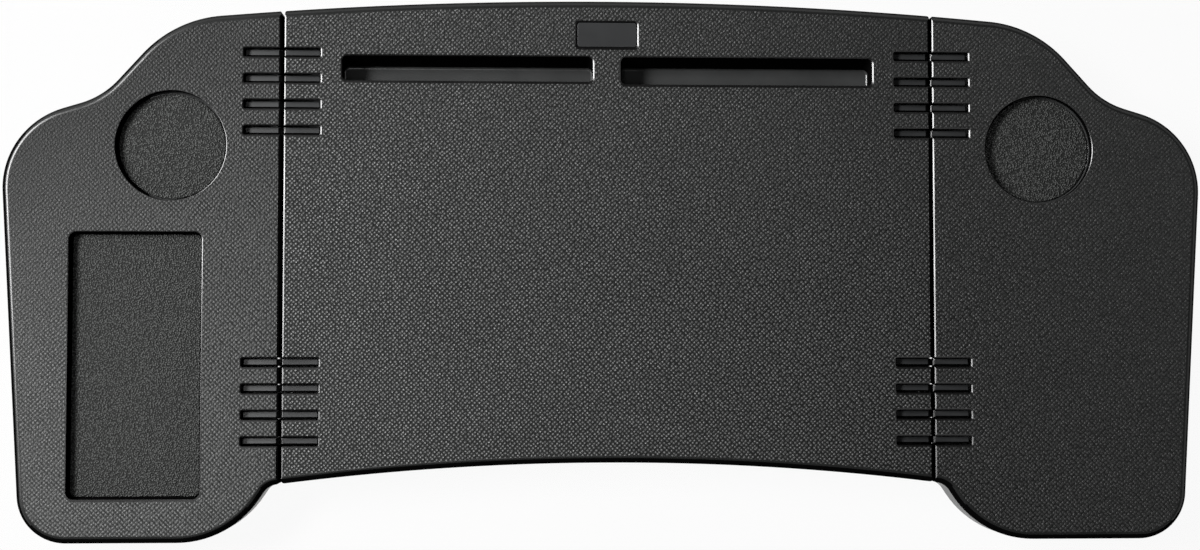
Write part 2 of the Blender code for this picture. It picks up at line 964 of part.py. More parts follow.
def rib(side, half, y):
    """A rib with its root in the leaf's plate and a nose that stops the wing level."""
    nose_x = outward(side, half, touch_gap / 2)
    face_x = outward(side, half, seam_face)
    root_x = outward(side, half, leaf_inner + fuse_depth)
    far_x = outward(side, half, window_reach - rib_gap)
    points = [
        (nose_x, base_z),
        (nose_x, base_z + stop_height),
        (face_x, base_z + stop_height),
        (face_x, rib_top),
        (far_x, rib_top),
        (far_x, leaf_top - fuse_depth),
        (root_x, leaf_top - fuse_depth),
        (root_x, base_z),
    ]
    half_width = window_width / 2 - rib_gap
    bm = prism_along_y(points, y - half_width, y + half_width)
    upright = []
    for edge in bm.edges:
        ends = [vert.co for vert in edge.verts]
        at_far = all(abs(end.x - far_x) < merge_distance for end in ends)
        if at_far and abs(ends[0].y - ends[1].y) < merge_distance:
            upright.append(edge)
    round_edges(bm, upright, rib_corner, 1)
    round_edges(bm, level_edges(bm, rib_top), rib_edge, 1)
    return bm


def countersink(x, y):
    """The room for a countersunk screw in the leaf's plate."""
    wide = screw_head_radius + touch_gap
    narrow = screw_shank_radius + touch_gap
    profile = [
        (0.0, leaf_top + cut_overrun),
        (narrow, leaf_top + cut_overrun),
        (narrow, leaf_bottom + screw_head_height + touch_gap),
        (wide, leaf_bottom + touch_gap),
        (wide, leaf_bottom - cut_overrun),
        (0.0, leaf_bottom - cut_overrun),
    ]
    return shifted(turned(profile, small_sides), x, y)


def build_leaf(name, side, half, station, parts, tools):
    """One half of a hinge: a plate with ribs above it and knuckles at the seam."""
    middle = station_middle(station)
    low = middle - station_length / 2
    high = middle + station_length / 2
    box = (*span(side, half, leaf_inner, leaf_outer), low, high)
    bm = prism(rectangle(box, leaf_corner), leaf_bottom, leaf_top)
    round_edges(bm, level_edges(bm, leaf_bottom), leaf_chamfer, 1)
    leaf = as_object(bm, name, parts)
    raised = [rib(side, half, y) for y in station_ribs(station)]
    fuse(leaf, as_object(gathered(raised), name + "_ribs", tools))
    points = knuckle_points(side, half)
    knuckles = [prism_along_y(points, start, end) for start, end in knuckle_spans(station, half)]
    fuse(leaf, as_object(gathered(knuckles), name + "_knuckles", tools))
    radius = hinge_pin_radius + touch_gap
    if half == wing:
        radius += sleeve_wall + touch_gap
    bore = cylinder_along_y(outward(side, half, 0), radius, low - cut_overrun, high + cut_overrun)
    cut(leaf, as_object(bore, name + "_bore", tools))
    hole = countersink(*leaf_screw_places(side, half)[station])
    cut(leaf, as_object(hole, name + "_screw_hole", tools))
    return dress(leaf, smooth_finish)


def build_hinge_pin(name, side, station, parts):
    half_length = station_length / 2 + touch_gap
    head = half_length + pin_head_thickness
    profile = [
        (0.0, head),
        (pin_head_radius, head),
        (pin_head_radius, half_length),
        (hinge_pin_radius, half_length),
        (hinge_pin_radius, -half_length),
        (0.0, -half_length),
    ]
    place = (outward(side, wing, 0), station_middle(station), axis_z)
    turn = (-quarter_turn, 0, 0)
    return dress(as_object(turned(profile, round_sides), name, parts, place, turn), steel_finish)


def build_sleeve(name, side, station, parts):
    """The friction sleeve in the outer leaf's knuckle."""
    low, high = knuckle_spans(station, wing)[0]
    half = (high - low) / 2
    inner = hinge_pin_radius + touch_gap
    outer = inner + sleeve_wall
    profile = [(outer, half), (outer, -half), (inner, -half), (inner, half)]
    place = (outward(side, wing, 0), station_middle(station), axis_z)
    turn = (-quarter_turn, 0, 0)
    return dress(as_object(turned(profile, round_sides), name, parts, place, turn), bronze_finish)


# Screws, feet and pads


def screw(countersunk):
    """A screw with its head down at z = 0 and its end up."""
    neck = (screw_shank_radius, screw_head_height)
    head = [] if countersunk else [(screw_head_radius, screw_head_height)]
    profile = [
        (0.0, screw_length),
        (screw_shank_radius, screw_length),
        neck,
        *head,
        (screw_head_radius, 0.0),
        (screw_socket_radius, 0.0),
        (screw_socket_radius, screw_socket_depth),
        (0.0, screw_socket_depth),
    ]
    return turned(profile, small_sides)


def build_screws(names, places, head_z, countersunk, parts):
    """Screws of one kind, which share their mesh."""
    first = as_object(screw(countersunk), names[0], parts, (*places[0], head_z))
    pieces = [dress(first, steel_finish)]
    for name, place in zip(names[1:], places[1:]):
        pieces.append(copied(first, name, (*place, head_z)))
    return pieces


def numbered(stem, count):
    return [stem + "_" + str(index + 1) for index in range(count)]


def build_feet(stem, places, parts):
    top = base_z + foot_recess - touch_gap
    profile = [
        (0.0, top),
        (foot_top_radius, top),
        (foot_bottom_radius, foot_edge),
        (foot_bottom_radius - foot_edge, 0.0),
        (0.0, 0.0),
    ]
    names = numbered(stem, len(places))
    first = as_object(turned(profile, foot_sides), names[0], parts, (*places[0], 0))
    pieces = [dress(first, rubber_finish)]
    for name, place in zip(names[1:], places[1:]):
        pieces.append(copied(first, name, (*place, 0)))
    return pieces


def along_rim(points):
    """Bends an outline's length round the circle of the wheel's rim."""
    bent = []
    for across, along in points:
        turn = along / wheel_radius
        reach = wheel_radius + across
        bent.append((reach * math.cos(turn) - wheel_radius, reach * math.sin(turn)))
    return bent


def build_wheel_pad(name, side, parts):
    """A pad that follows the curve of the wheel's rim."""
    half_length = wheel_pad_length / 2
    half_width = wheel_pad_width / 2
    straight = half_length - wheel_pad_corner
    steps = [straight * (2 * step / pad_segments - 1) for step in range(1, pad_segments)]
    points = rectangle((-half_width, half_width, -half_length, half_length), wheel_pad_corner)
    half_way = len(points) // 2
    points = points[:half_way] + [(-half_width, -y) for y in steps] + points[half_way:]
    points += [(half_width, y) for y in steps]
    points = [(side * x, y) for x, y in along_rim(points)]
    bm = prism(points, -wheel_pad_thickness, 0)
    round_edges(bm, level_edges(bm, -wheel_pad_thickness), foot_edge, 1)
    x = outward(side, centre, wheel_pad_from_seam)
    place = (x, half_depth - wheel_pad_from_edge, base_z - touch_gap)
    return dress(as_object(bm, name, parts, place, (0, 0, side * wheel_pad_angle)), rubber_finish)


# Rim hooks


def stowed(points, side):
    """Turns (along the pin, away from the pin) into the plan of a stowed hook."""
    return [(side * (hook_pivot_x - away), hook_y + along) for along, away in points]


def hook_points(side):
    half = hook_length / 2
    tip = hook_tip_short - half
    back = half - hook_back_arm
    arm = hook_reach - hook_lower_arm
    lip = arm - hook_lip_height
    corners = [
        (half, 0, 0),
        (half, hook_reach, hook_corner),
        (tip, hook_reach, hook_corner),
        (tip, lip, hook_lip_corner),
        (tip + hook_lip_width, lip, hook_lip_corner),
        (tip + hook_lip_width, arm, hook_inner_corner / 2),
        (back, arm, hook_inner_corner),
        (back, hook_bar, hook_inner_corner),
        (-half, hook_bar, hook_inner_corner),
        (-half, 0, 0),
    ]
    return stowed(rounded(corners), side)


def build_hook(name, side, parts, tools):
    pivot_x = side * hook_pivot_x
    low = axis_z - hook_thickness / 2
    high = axis_z + hook_thickness / 2
    bm = prism(hook_points(side), low, high)

    def off_pivot(edge):
        return any(abs(vert.co.x - pivot_x) > merge_distance for vert in edge.verts)

    for height in (low, high):
        round_edges(bm, level_edges(bm, height, off_pivot), hook_edge, 1)
    hook = as_object(bm, name, parts)
    half = hook_length / 2
    barrel = cylinder_along_y(pivot_x, barrel_radius, hook_y - half, hook_y + half)
    fuse(hook, as_object(barrel, name + "_barrel", tools))
    radius = hook_pin_radius + touch_gap
    reach = half + cut_overrun
    bore = cylinder_along_y(pivot_x, radius, hook_y - reach, hook_y + reach)
    cut(hook, as_object(bore, name + "_bore", tools))
    return dress(hook, smooth_finish)


def build_hook_pad(name, side, parts):
    """A soft strip of even thickness inside the hook's back arm and lower arm."""
    half_width = hook_pad_width / 2
    back = hook_length / 2 - hook_back_arm - touch_gap
    arm = hook_reach - hook_lower_arm - touch_gap
    tip = hook_tip_short - hook_length / 2 + hook_lip_width + hook_pad_from_lip
    start = hook_bar + hook_inner_corner
    corners = [
        (back, start, 0),
        (back, arm, hook_inner_corner),
        (tip, arm, 0),
        (tip, arm - hook_pad_thickness, 0),
        (back - hook_pad_thickness, arm - hook_pad_thickness, hook_inner_corner / 2),
        (back - hook_pad_thickness, start, 0),
    ]
    points = stowed(rounded(corners), side)
    bm = prism(points, axis_z - half_width, axis_z + half_width)
    return dress(as_object(bm, name, parts), rubber_finish)


def build_hook_pin(name, side, parts):
    half_length = hook_length / 2 + touch_gap + ear_thickness
    bm = cylinder(0, 0, hook_pin_radius, -half_length, half_length, round_sides)
    place = (side * hook_pivot_x, hook_y, axis_z)
    return dress(as_object(bm, name, parts, place, (quarter_turn, 0, 0)), steel_finish)


# Assembly


def hang(pieces, name, x, parts):
    """Parents pieces to an empty on a joint's axis, which runs along Y."""
    empty = bpy.data.objects.new(name, None)
    empty.location = (x, 0, axis_z)
    empty.empty_display_size = hook_length
    parts.objects.link(empty)
    for piece in pieces:
        piece.parent = empty
        piece.matrix_parent_inverse = Matrix.Translation(-empty.location)


def hinge_name(word, place):
    return "_".join(("hinge", word, place))


def build_centre(parts, tools):
    build_centre_top(parts, tools)
    build_centre_base(parts, tools)
    build_badge(parts)
    case_places = centre_places(centre_screw_shares)
    names = numbered("centre_case_screw", len(case_places))
    build_screws(names, case_places, base_z, False, parts)
    build_feet("centre_foot", centre_places(centre_foot_shares), parts)
    for word, side in sides.items():
        build_wheel_pad(word + "_wheel_pad", side, parts)
        for place, station in stations.items():
            hinge = hinge_name(word, place)
            build_leaf(hinge + "_inner_leaf", side, centre, station, parts, tools)
            build_hinge_pin(hinge + "_pin", side, station, parts)
        names = [hinge_name(word, place) + "_inner_screw" for place in stations]
        build_screws(names, leaf_screw_places(side, centre), leaf_bottom, True, parts)
        build_hook_pin(word + "_hook_pin", side, parts)


def build_wing(word, side, has_phone, parts, tools):
    name = word + "_wing"
    pieces = [
        build_wing_top(name + "_top", side, has_phone, parts, tools),
        build_wing_base(name + "_base", side, parts, tools),
        build_cup_mat(word + "_cup_mat", side, parts),
    ]
    if has_phone:
        pieces.append(build_phone_mat("phone_mat", side, parts))
    case_places = wing_places(wing_screw_shares, side)
    names = numbered(name + "_case_screw", len(case_places))
    pieces += build_screws(names, case_places, base_z, False, parts)
    pieces += build_feet(name + "_foot", wing_places(wing_foot_shares, side), parts)
    names = [hinge_name(word, place) + "_outer_screw" for place in stations]
    pieces += build_screws(names, leaf_screw_places(side, wing), leaf_bottom, True, parts)
    for place, station in stations.items():
        hinge = hinge_name(word, place)
        pieces.append(build_leaf(hinge + "_outer_leaf", side, wing, station, parts, tools))
        pieces.append(build_sleeve(hinge + "_sleeve", side, station, parts))
    hang(pieces, name + "_axis", outward(side, wing, 0), parts)


def build_rim_hook(word, side, parts, tools):
    name = word + "_hook"
    pieces = [
        build_hook(name, side, parts, tools),
        build_hook_pad(name + "_pad", side, parts),
    ]
    hang(pieces, name + "_axis", side * hook_pivot_x, parts)


def main():
    clear_scene()
    parts = new_collection("steering wheel desk")
    tools = new_collection("cutters", hidden=True)
    build_centre(parts, tools)
    for word, side in sides.items():
        build_wing(word, side, side < 0, parts, tools)
        build_rim_hook(word, side, parts, tools)


main()
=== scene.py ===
"""Steering wheel desk: made tops, finishes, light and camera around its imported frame.

Lengths are metres. X runs along the desk, Y to its far edge and Z up.
"""

import math

import bmesh
import bpy
from mathutils import Matrix, Vector


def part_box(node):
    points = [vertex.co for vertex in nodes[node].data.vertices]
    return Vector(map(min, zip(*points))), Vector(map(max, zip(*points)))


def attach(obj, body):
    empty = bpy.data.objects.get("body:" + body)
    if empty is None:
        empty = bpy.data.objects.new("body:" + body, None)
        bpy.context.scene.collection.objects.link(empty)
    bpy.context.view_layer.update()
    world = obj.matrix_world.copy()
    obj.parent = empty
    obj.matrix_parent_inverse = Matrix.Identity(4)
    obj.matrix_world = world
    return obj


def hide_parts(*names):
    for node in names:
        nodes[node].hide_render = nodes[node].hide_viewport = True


bl_info = {
    "name": "Steering Wheel Desk",
    "version": (1, 0, 0),
    "blender": (4, 5, 0),
    "location": "View3D > Sidebar > Desk",
    "description": "Finishes, light and camera for a folding desk that hangs on a steering wheel",
    "category": "Object",
}

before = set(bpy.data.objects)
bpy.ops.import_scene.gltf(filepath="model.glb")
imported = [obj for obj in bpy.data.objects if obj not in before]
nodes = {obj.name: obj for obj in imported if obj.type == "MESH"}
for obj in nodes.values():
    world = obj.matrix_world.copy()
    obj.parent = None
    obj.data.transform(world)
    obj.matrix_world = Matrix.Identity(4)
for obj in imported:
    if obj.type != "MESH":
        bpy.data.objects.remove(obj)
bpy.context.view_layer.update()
shell_low, shell_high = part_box("centre_top")
TOP_Z = shell_high.z


class DeskSizes(bpy.types.PropertyGroup):
    rim_radius: bpy.props.FloatProperty(
        name="Rim radius", description="Roll of the tops' outer rim",
        default=0.0045, min=0.001, max=0.006, unit="LENGTH", precision=5)
    edge_width: bpy.props.FloatProperty(
        name="Seam edge width", description="Shallow sloped edge beside each seam and in each window",
        default=0.0008, min=0.0002, max=0.0015, unit="LENGTH", precision=5)
    mouth_edge: bpy.props.FloatProperty(
        name="Mouth edge", description="Round edge of the recesses, slots and windows",
        default=0.0008, min=0.0002, max=0.001, unit="LENGTH", precision=5)
    grain_pitch: bpy.props.FloatProperty(
        name="Grain pitch", description="Distance between the pebbles of the tops' grain",
        default=0.00204, min=0.0005, max=0.01, unit="LENGTH", precision=5)
    centre_grain: bpy.props.FloatProperty(
        name="Centre grain depth", description="Height of the centre top's pebbles",
        default=0.00042, min=0.0, max=0.001, unit="LENGTH", precision=5)
    left_grain: bpy.props.FloatProperty(
        name="Left wing grain depth", description="Height of the left wing top's pebbles",
        default=0.00024, min=0.0, max=0.001, unit="LENGTH", precision=5)
    right_grain: bpy.props.FloatProperty(
        name="Right wing grain depth", description="Height of the right wing top's pebbles",
        default=0.00044, min=0.0, max=0.001, unit="LENGTH", precision=5)
    mat_grain_pitch: bpy.props.FloatProperty(
        name="Mat grain size", description="Size of the mats' sandy grains",
        default=0.0011, min=0.0003, max=0.01, unit="LENGTH", precision=5)


class DeskColours(bpy.types.PropertyGroup):
    shell: bpy.props.FloatVectorProperty(
        name="Tops", description="Plastic of the three tops",
        default=(0.0195, 0.0202, 0.0198), min=0.0, max=1.0, subtype="COLOR")
    # Painted shade: near-black, far darker than the tops' plastic, for walls, seams and edges where shade
    # falls, and under the lit edges' shine
    wall: bpy.props.FloatVectorProperty(
        name="Walls", description="Smooth plastic of the walls of the slots and recesses",
        default=(0.0025, 0.0025, 0.0025), min=0.0, max=1.0, subtype="COLOR")
    floor: bpy.props.FloatVectorProperty(
        name="Recess floors", description="Smooth plastic of the floors of the slots and recesses",
        default=(0.041, 0.042, 0.042), min=0.0, max=1.0, subtype="COLOR")
    cover: bpy.props.FloatVectorProperty(
        name="Covers", description="Plastic of the bottom covers",
        default=(0.034, 0.035, 0.035), min=0.0, max=1.0, subtype="COLOR")
    badge: bpy.props.FloatVectorProperty(
        name="Badge plate", description="Satin plate near the far edge",
        default=(0.028, 0.029, 0.030), min=0.0, max=1.0, subtype="COLOR")
    mat: bpy.props.FloatVectorProperty(
        name="Mats", description="Rubber mats in the cup and phone recesses",
        default=(0.058, 0.060, 0.058), min=0.0, max=1.0, subtype="COLOR")
    rubber: bpy.props.FloatVectorProperty(
        name="Feet and pads", description="Rubber of the feet and pads",
        default=(0.020, 0.020, 0.021), min=0.0, max=1.0, subtype="COLOR")
    # Painted light: a lighter copy of the leaves' plastic, for the left wing's leaves that the lamp lights
    # more
    left_hinge_lit: bpy.props.FloatVectorProperty(
        name="Left wing's leaves", description="Satin plastic of the two hinge leaves on the left wing",
        default=(0.060, 0.061, 0.062), min=0.0, max=1.0, subtype="COLOR")
    hinge: bpy.props.FloatVectorProperty(
        name="Hinge leaves and hooks", description="Satin plastic of the other leaves and the rim hooks",
        default=(0.030, 0.031, 0.032), min=0.0, max=1.0, subtype="COLOR")
    steel: bpy.props.FloatVectorProperty(
        name="Screws and pins", description="Plated steel of the screws and pins",
        default=(0.42, 0.42, 0.43), min=0.0, max=1.0, subtype="COLOR")
    brass: bpy.props.FloatVectorProperty(
        name="Sleeves", description="Brass of the hinge sleeves",
        default=(0.52, 0.38, 0.20), min=0.0, max=1.0, subtype="COLOR")


class DeskStage(bpy.types.PropertyGroup):
    lamp_power: bpy.props.FloatProperty(
        name="Key lamp power", description="Power of the soft lamp at the left",
        default=50.0, min=0.0, max=1000.0, unit="POWER")
    lamp_width: bpy.props.FloatProperty(
        name="Key lamp width", description="Level side of the soft lamp",
        default=1.0, min=0.05, max=5.0, unit="LENGTH")
    lamp_height: bpy.props.FloatProperty(
        name="Key lamp height", description="Upright side of the soft lamp",
        default=0.42, min=0.05, max=5.0, unit="LENGTH")
    lamp_distance: bpy.props.FloatProperty(
        name="Key lamp distance", description="From the desk's middle to the soft lamp",
        default=1.9, min=0.3, max=10.0, unit="LENGTH")
    lamp_bearing: bpy.props.FloatProperty(
        name="Key lamp bearing", description="Turn of the lamp from the desk's left towards its far edge",
        default=math.radians(18), min=-math.pi, max=math.pi, subtype="ANGLE")
    lamp_rise: bpy.props.FloatProperty(
        name="Key lamp rise", description="Angle of the lamp above the level top",
        default=math.radians(41), min=0.0, max=math.pi / 2, subtype="ANGLE")
    sheen_power: bpy.props.FloatProperty(
        name="Top lamp power", description="Power of the weak lamp above, for the sheen of the plastic",
        default=2.0, min=0.0, max=100.0, unit="POWER")
    sheen_width: bpy.props.FloatProperty(
        name="Top lamp width", description="Side of the weak lamp above",
        default=0.45, min=0.05, max=5.0, unit="LENGTH")
    under_power: bpy.props.FloatProperty(
        name="Under lamp power", description="Power of the soft lamp below the desk",
        default=22.0, min=0.0, max=1000.0, unit="POWER")
    fill: bpy.props.FloatProperty(
        name="Fill", description="Brightness of the room around the desk",
        default=0.012, min=0.0, max=2.0, subtype="FACTOR")
    floor: bpy.props.FloatVectorProperty(
        name="Floor", description="Pale floor",
        default=(0.60, 0.60, 0.595), min=0.0, max=1.0, subtype="COLOR")


# How each top looks, 0 the centre and -1 and 1 the wings. Grain, tone and gloss are shares of the full
# depth, colour and shine at its front left, front right, back left and back right corners. The tone is
# painted light and shade: the colour is made lighter or darker from corner to corner where the lamps fall
# brighter or dimmer.
# Span is where these lie along X, and lean is how far round pebbles give way to slanting lines
LOOKS = {
    0: {"span": (-0.2, 0.2), "lean": 0.15, "grain": (2.1, 1.75, 1.05, 0.6),
        "tone": (2.9, 1.15, 1.5, 0.8), "gloss": (1.7, 0.95, 1.05, 0.85)},
    -1: {"span": (-0.37, -0.2), "lean": 0.4, "grain": (0.85, 1.35, 0.2, 1.0),
         "tone": (2.1, 2.3, 0.5, 1.1), "gloss": (1.1, 1.1, 0.2, 0.75)},
    1: {"span": (0.2, 0.37), "lean": 0.2, "grain": (1.1, 0.75, 0.75, 0.4),
        "tone": (0.66, 0.85, 1.0, 1.08), "gloss": (0.85, 0.85, 0.9, 0.9)},
}
# Those corners' distance along Y from the desk's middle
LOOK_REACH = 0.14


# Shader nodes

NODE_STEP = 190

# Sockets of a Mix node
FACTOR, VALUE_A, VALUE_B, COLOUR_A, COLOUR_B, COLOUR_OUT = 0, 2, 3, 6, 7, 2


def put(tree, kind, place, **values):
    """A shader node at a grid place, with its own settings and unlinked inputs."""
    node = tree.nodes.new(kind)
    node.location = (place[0] * NODE_STEP, -place[1] * NODE_STEP)
    for key, value in values.items():
        if hasattr(node, key) and not isinstance(value, tuple):
            setattr(node, key, value)
        else:
            node.inputs[key].default_value = value
    return node


def new_group(name, inputs, outputs):
    tree = bpy.data.node_groups.new(name, "ShaderNodeTree")
    for label, kind, default in inputs:
        socket = tree.interface.new_socket(label, in_out="INPUT", socket_type=kind)
        if default is not None:
            socket.default_value = default
    for label, kind in outputs:
        tree.interface.new_socket(label, in_out="OUTPUT", socket_type=kind)
    entry = tree.nodes.new("NodeGroupInput")
    entry.location = (-800, 0)
    leave = tree.nodes.new("NodeGroupOutput")
    leave.location = (1400, 0)
    return tree, entry, leave


def value_of(tree, operation, place, *inputs, clamp=False):
    """A Math node fed by sockets and numbers."""
    node = put(tree, "ShaderNodeMath", place)
    node.operation = operation
    node.use_clamp = clamp
    for socket, source in zip(node.inputs, inputs):
        if isinstance(source, bpy.types.NodeSocket):
            tree.links.new(source, socket)
        else:
            socket.default_value = source
    return node.outputs[0]


def ranged(tree, place, source, low, high, first=0.0, last=1.0, curve="LINEAR"):
    """A source that runs from first to last, made to run from low to high."""
    node = put(tree, "ShaderNodeMapRange", place, interpolation_type=curve)
    tree.links.new(source, node.inputs["Value"])
    node.inputs["From Min"].default_value = first
    node.inputs["From Max"].default_value = last
    node.inputs["To Min"].default_value = low
    node.inputs["To Max"].default_value = high
    return node.outputs[0]


def mixed(tree, place, share, first, second):
    """A value between two others."""
    mix = put(tree, "ShaderNodeMix", place, data_type="FLOAT")
    for socket, source in ((FACTOR, share), (VALUE_A, first), (VALUE_B, second)):
        tree.links.new(source, mix.inputs[socket])
    return mix.outputs[0]


def tinted(tree, place, colour, lift, mask):
    """The colour, moved towards a lighter or darker one by a mask."""
    mix = put(tree, "ShaderNodeMix", place, data_type="RGBA")
    mix.inputs[COLOUR_A].default_value = (*colour, 1.0)
    mix.inputs[COLOUR_B].default_value = (*[min(1.0, c * lift) for c in colour], 1.0)
    tree.links.new(mask, mix.inputs[FACTOR])
    return mix.outputs[COLOUR_OUT]


def toned(tree, place, colour, tone):
    """The colour times a tone that changes over the surface."""
    mix = put(tree, "ShaderNodeMix", place, data_type="RGBA", blend_type="MULTIPLY")
    mix.inputs[FACTOR].default_value = 1.0
    tree.links.new(colour, mix.inputs[COLOUR_A])
    tree.links.new(tone, mix.inputs[COLOUR_B])
    return mix.outputs[COLOUR_OUT]


def bumped(tree, place, height, depth):
    bump = put(tree, "ShaderNodeBump", place, Strength=1.0, Distance=depth)
    tree.links.new(height, bump.inputs["Height"])
    return bump


def use_group(tree, name, place, **values):
    """A shader group in a material, with its own values. The group is made once."""
    node = put(tree, "ShaderNodeGroup", place)
    node.node_tree = bpy.data.node_groups.get(name) or SHADER_GROUPS[name]()
    for key, value in values.items():
        socket = node.inputs[key]
        if isinstance(value, bpy.types.NodeSocket):
            tree.links.new(value, socket)
        else:
            socket.default_value = value
    return node


# Shader groups

def pebble_grain():
    """Staggered moulded pebbles: height from 0 in the valleys to 1 on the crowns."""
    tree, entry, leave = new_group(
        "Pebble Grain",
        [("Vector", "NodeSocketVector", None), ("Pitch", "NodeSocketFloat", 0.002),
         ("Wander", "NodeSocketFloat", 0.35), ("Lean", "NodeSocketFloat", 0.0)],
        [("Height", "NodeSocketFloat")])
    link = tree.links.new
    drift_reach = 0.0016
    drift = put(tree, "ShaderNodeTexNoise", (-3, 1), Scale=55.0, Detail=1.0)
    link(entry.outputs["Vector"], drift.inputs["Vector"])
    shift = put(tree, "ShaderNodeVectorMath", (-2, 1), operation="MULTIPLY_ADD")
    shift.inputs[1].default_value = (drift_reach, drift_reach, 0.0)
    link(drift.outputs["Color"], shift.inputs[0])
    link(entry.outputs["Vector"], shift.inputs[2])
    turn = put(tree, "ShaderNodeVectorRotate", (-1, 0), rotation_type="Z_AXIS")
    turn.inputs["Angle"].default_value = math.radians(45)
    link(shift.outputs[0], turn.inputs["Vector"])
    density = value_of(tree, "DIVIDE", (-2, 3), 1.0, entry.outputs["Pitch"])
    cells = put(tree, "ShaderNodeTexVoronoi", (0, 0), voronoi_dimensions="2D", feature="F1")
    link(turn.outputs[0], cells.inputs["Vector"])
    link(density, cells.inputs["Scale"])
    link(entry.outputs["Wander"], cells.inputs["Randomness"])
    dome = ranged(tree, (1, 0), cells.outputs["Distance"], 0.0, 1.0, 0.62, 0.06, "SMOOTHERSTEP")
    lines = put(tree, "ShaderNodeTexWave", (0, 2), wave_type="BANDS", bands_direction="Y",
                Distortion=1.2, Detail=1.0)
    link(turn.outputs[0], lines.inputs["Vector"])
    # The length after which bands of scale 1 repeat
    band_period = 0.314
    link(value_of(tree, "MULTIPLY", (-1, 3), density, band_period), lines.inputs["Scale"])
    link(mixed(tree, (2, 1), entry.outputs["Lean"], dome, lines.outputs["Fac"]), leave.inputs["Height"])
    return tree


def sand_grain():
    """Fine uneven grain, for rubber and spark-eroded plastic."""
    tree, entry, leave = new_group(
        "Sand Grain",
        [("Vector", "NodeSocketVector", None), ("Size", "NodeSocketFloat", 0.001)],
        [("Height", "NodeSocketFloat"), ("Tone", "NodeSocketFloat")])
    link = tree.links.new
    density = value_of(tree, "DIVIDE", (-3, 2), 1.0, entry.outputs["Size"])
    grains = put(tree, "ShaderNodeTexVoronoi", (-1, 0), feature="F1")
    link(entry.outputs["Vector"], grains.inputs["Vector"])
    link(density, grains.inputs["Scale"])
    lift = ranged(tree, (0, 0), grains.outputs["Distance"], 0.0, 1.0, 0.75, 0.10, "SMOOTHSTEP")
    link(lift, leave.inputs["Height"])
    broad = put(tree, "ShaderNodeTexNoise", (-1, 2), Scale=38.0, Detail=4.0)
    link(entry.outputs["Vector"], broad.inputs["Vector"])
    link(broad.outputs["Fac"], leave.inputs["Tone"])
    return tree


def wear_marks():
    """Handling marks: broad rubbed patches and a few fine scuffs."""
    tree, entry, leave = new_group(
        "Handling Marks",
        [("Vector", "NodeSocketVector", None), ("Amount", "NodeSocketFloat", 0.5)],
        [("Rub", "NodeSocketFloat"), ("Scuff", "NodeSocketFloat")])
    link = tree.links.new
    rub = put(tree, "ShaderNodeTexNoise", (-1, 0), Scale=7.0, Detail=5.0, Roughness=0.6)
    link(entry.outputs["Vector"], rub.inputs["Vector"])
    patch = ranged(tree, (0, 0), rub.outputs["Fac"], 0.0, 1.0, 0.40, 0.72, "SMOOTHSTEP")
    link(value_of(tree, "MULTIPLY", (1, 0), patch, entry.outputs["Amount"]), leave.inputs["Rub"])
    stretch = put(tree, "ShaderNodeMapping", (-2, 3), Rotation=(0.0, 0.0, 0.6), Scale=(18.0, 240.0, 60.0))
    link(entry.outputs["Vector"], stretch.inputs["Vector"])
    streak = put(tree, "ShaderNodeTexNoise", (-1, 3), Scale=1.0, Detail=3.0)
    link(stretch.outputs[0], streak.inputs["Vector"])
    thin = ranged(tree, (0, 3), streak.outputs["Fac"], 0.0, 1.0, 0.66, 0.74)
    link(value_of(tree, "MULTIPLY", (1, 3), thin, entry.outputs["Amount"]), leave.inputs["Scuff"])
    return tree


SHADER_GROUPS = {"Pebble Grain": pebble_grain, "Sand Grain": sand_grain, "Handling Marks": wear_marks}


# Materials

def new_material(name):
    material = bpy.data.materials.new(name)
    material.use_nodes = True
    tree = material.node_tree
    shader = tree.nodes["Principled BSDF"]
    shader.location = (1300, 0)
    tree.nodes["Material Output"].location = (1600, 0)
    return material, tree, shader


def surface_of(tree, grain):
    """A place on the piece, with the fine grain and the handling marks there."""
    place = put(tree, "ShaderNodeTexCoord", (-4, 0)).outputs["Object"]
    fine = use_group(tree, "Sand Grain", (-2, 0), Vector=place, Size=grain)
    marks = use_group(tree, "Handling Marks", (-2, 2), Vector=place, Amount=1.0)
    return place, fine, marks


def between_corners(tree, place, apart, span, corners):
    """A value that runs between those given for a top's four corners."""
    front_left, front_right, back_left, back_right = corners
    across, along = apart.outputs["X"], apart.outputs["Y"]
    column, row = place
    back = ranged(tree, (column, row), along, 0.0, 1.0, -LOOK_REACH, LOOK_REACH)
    return mixed(tree, (column + 1, row), back,
                 ranged(tree, (column, row + 1), across, front_left, front_right, *span),
                 ranged(tree, (column, row + 2), across, back_left, back_right, *span))


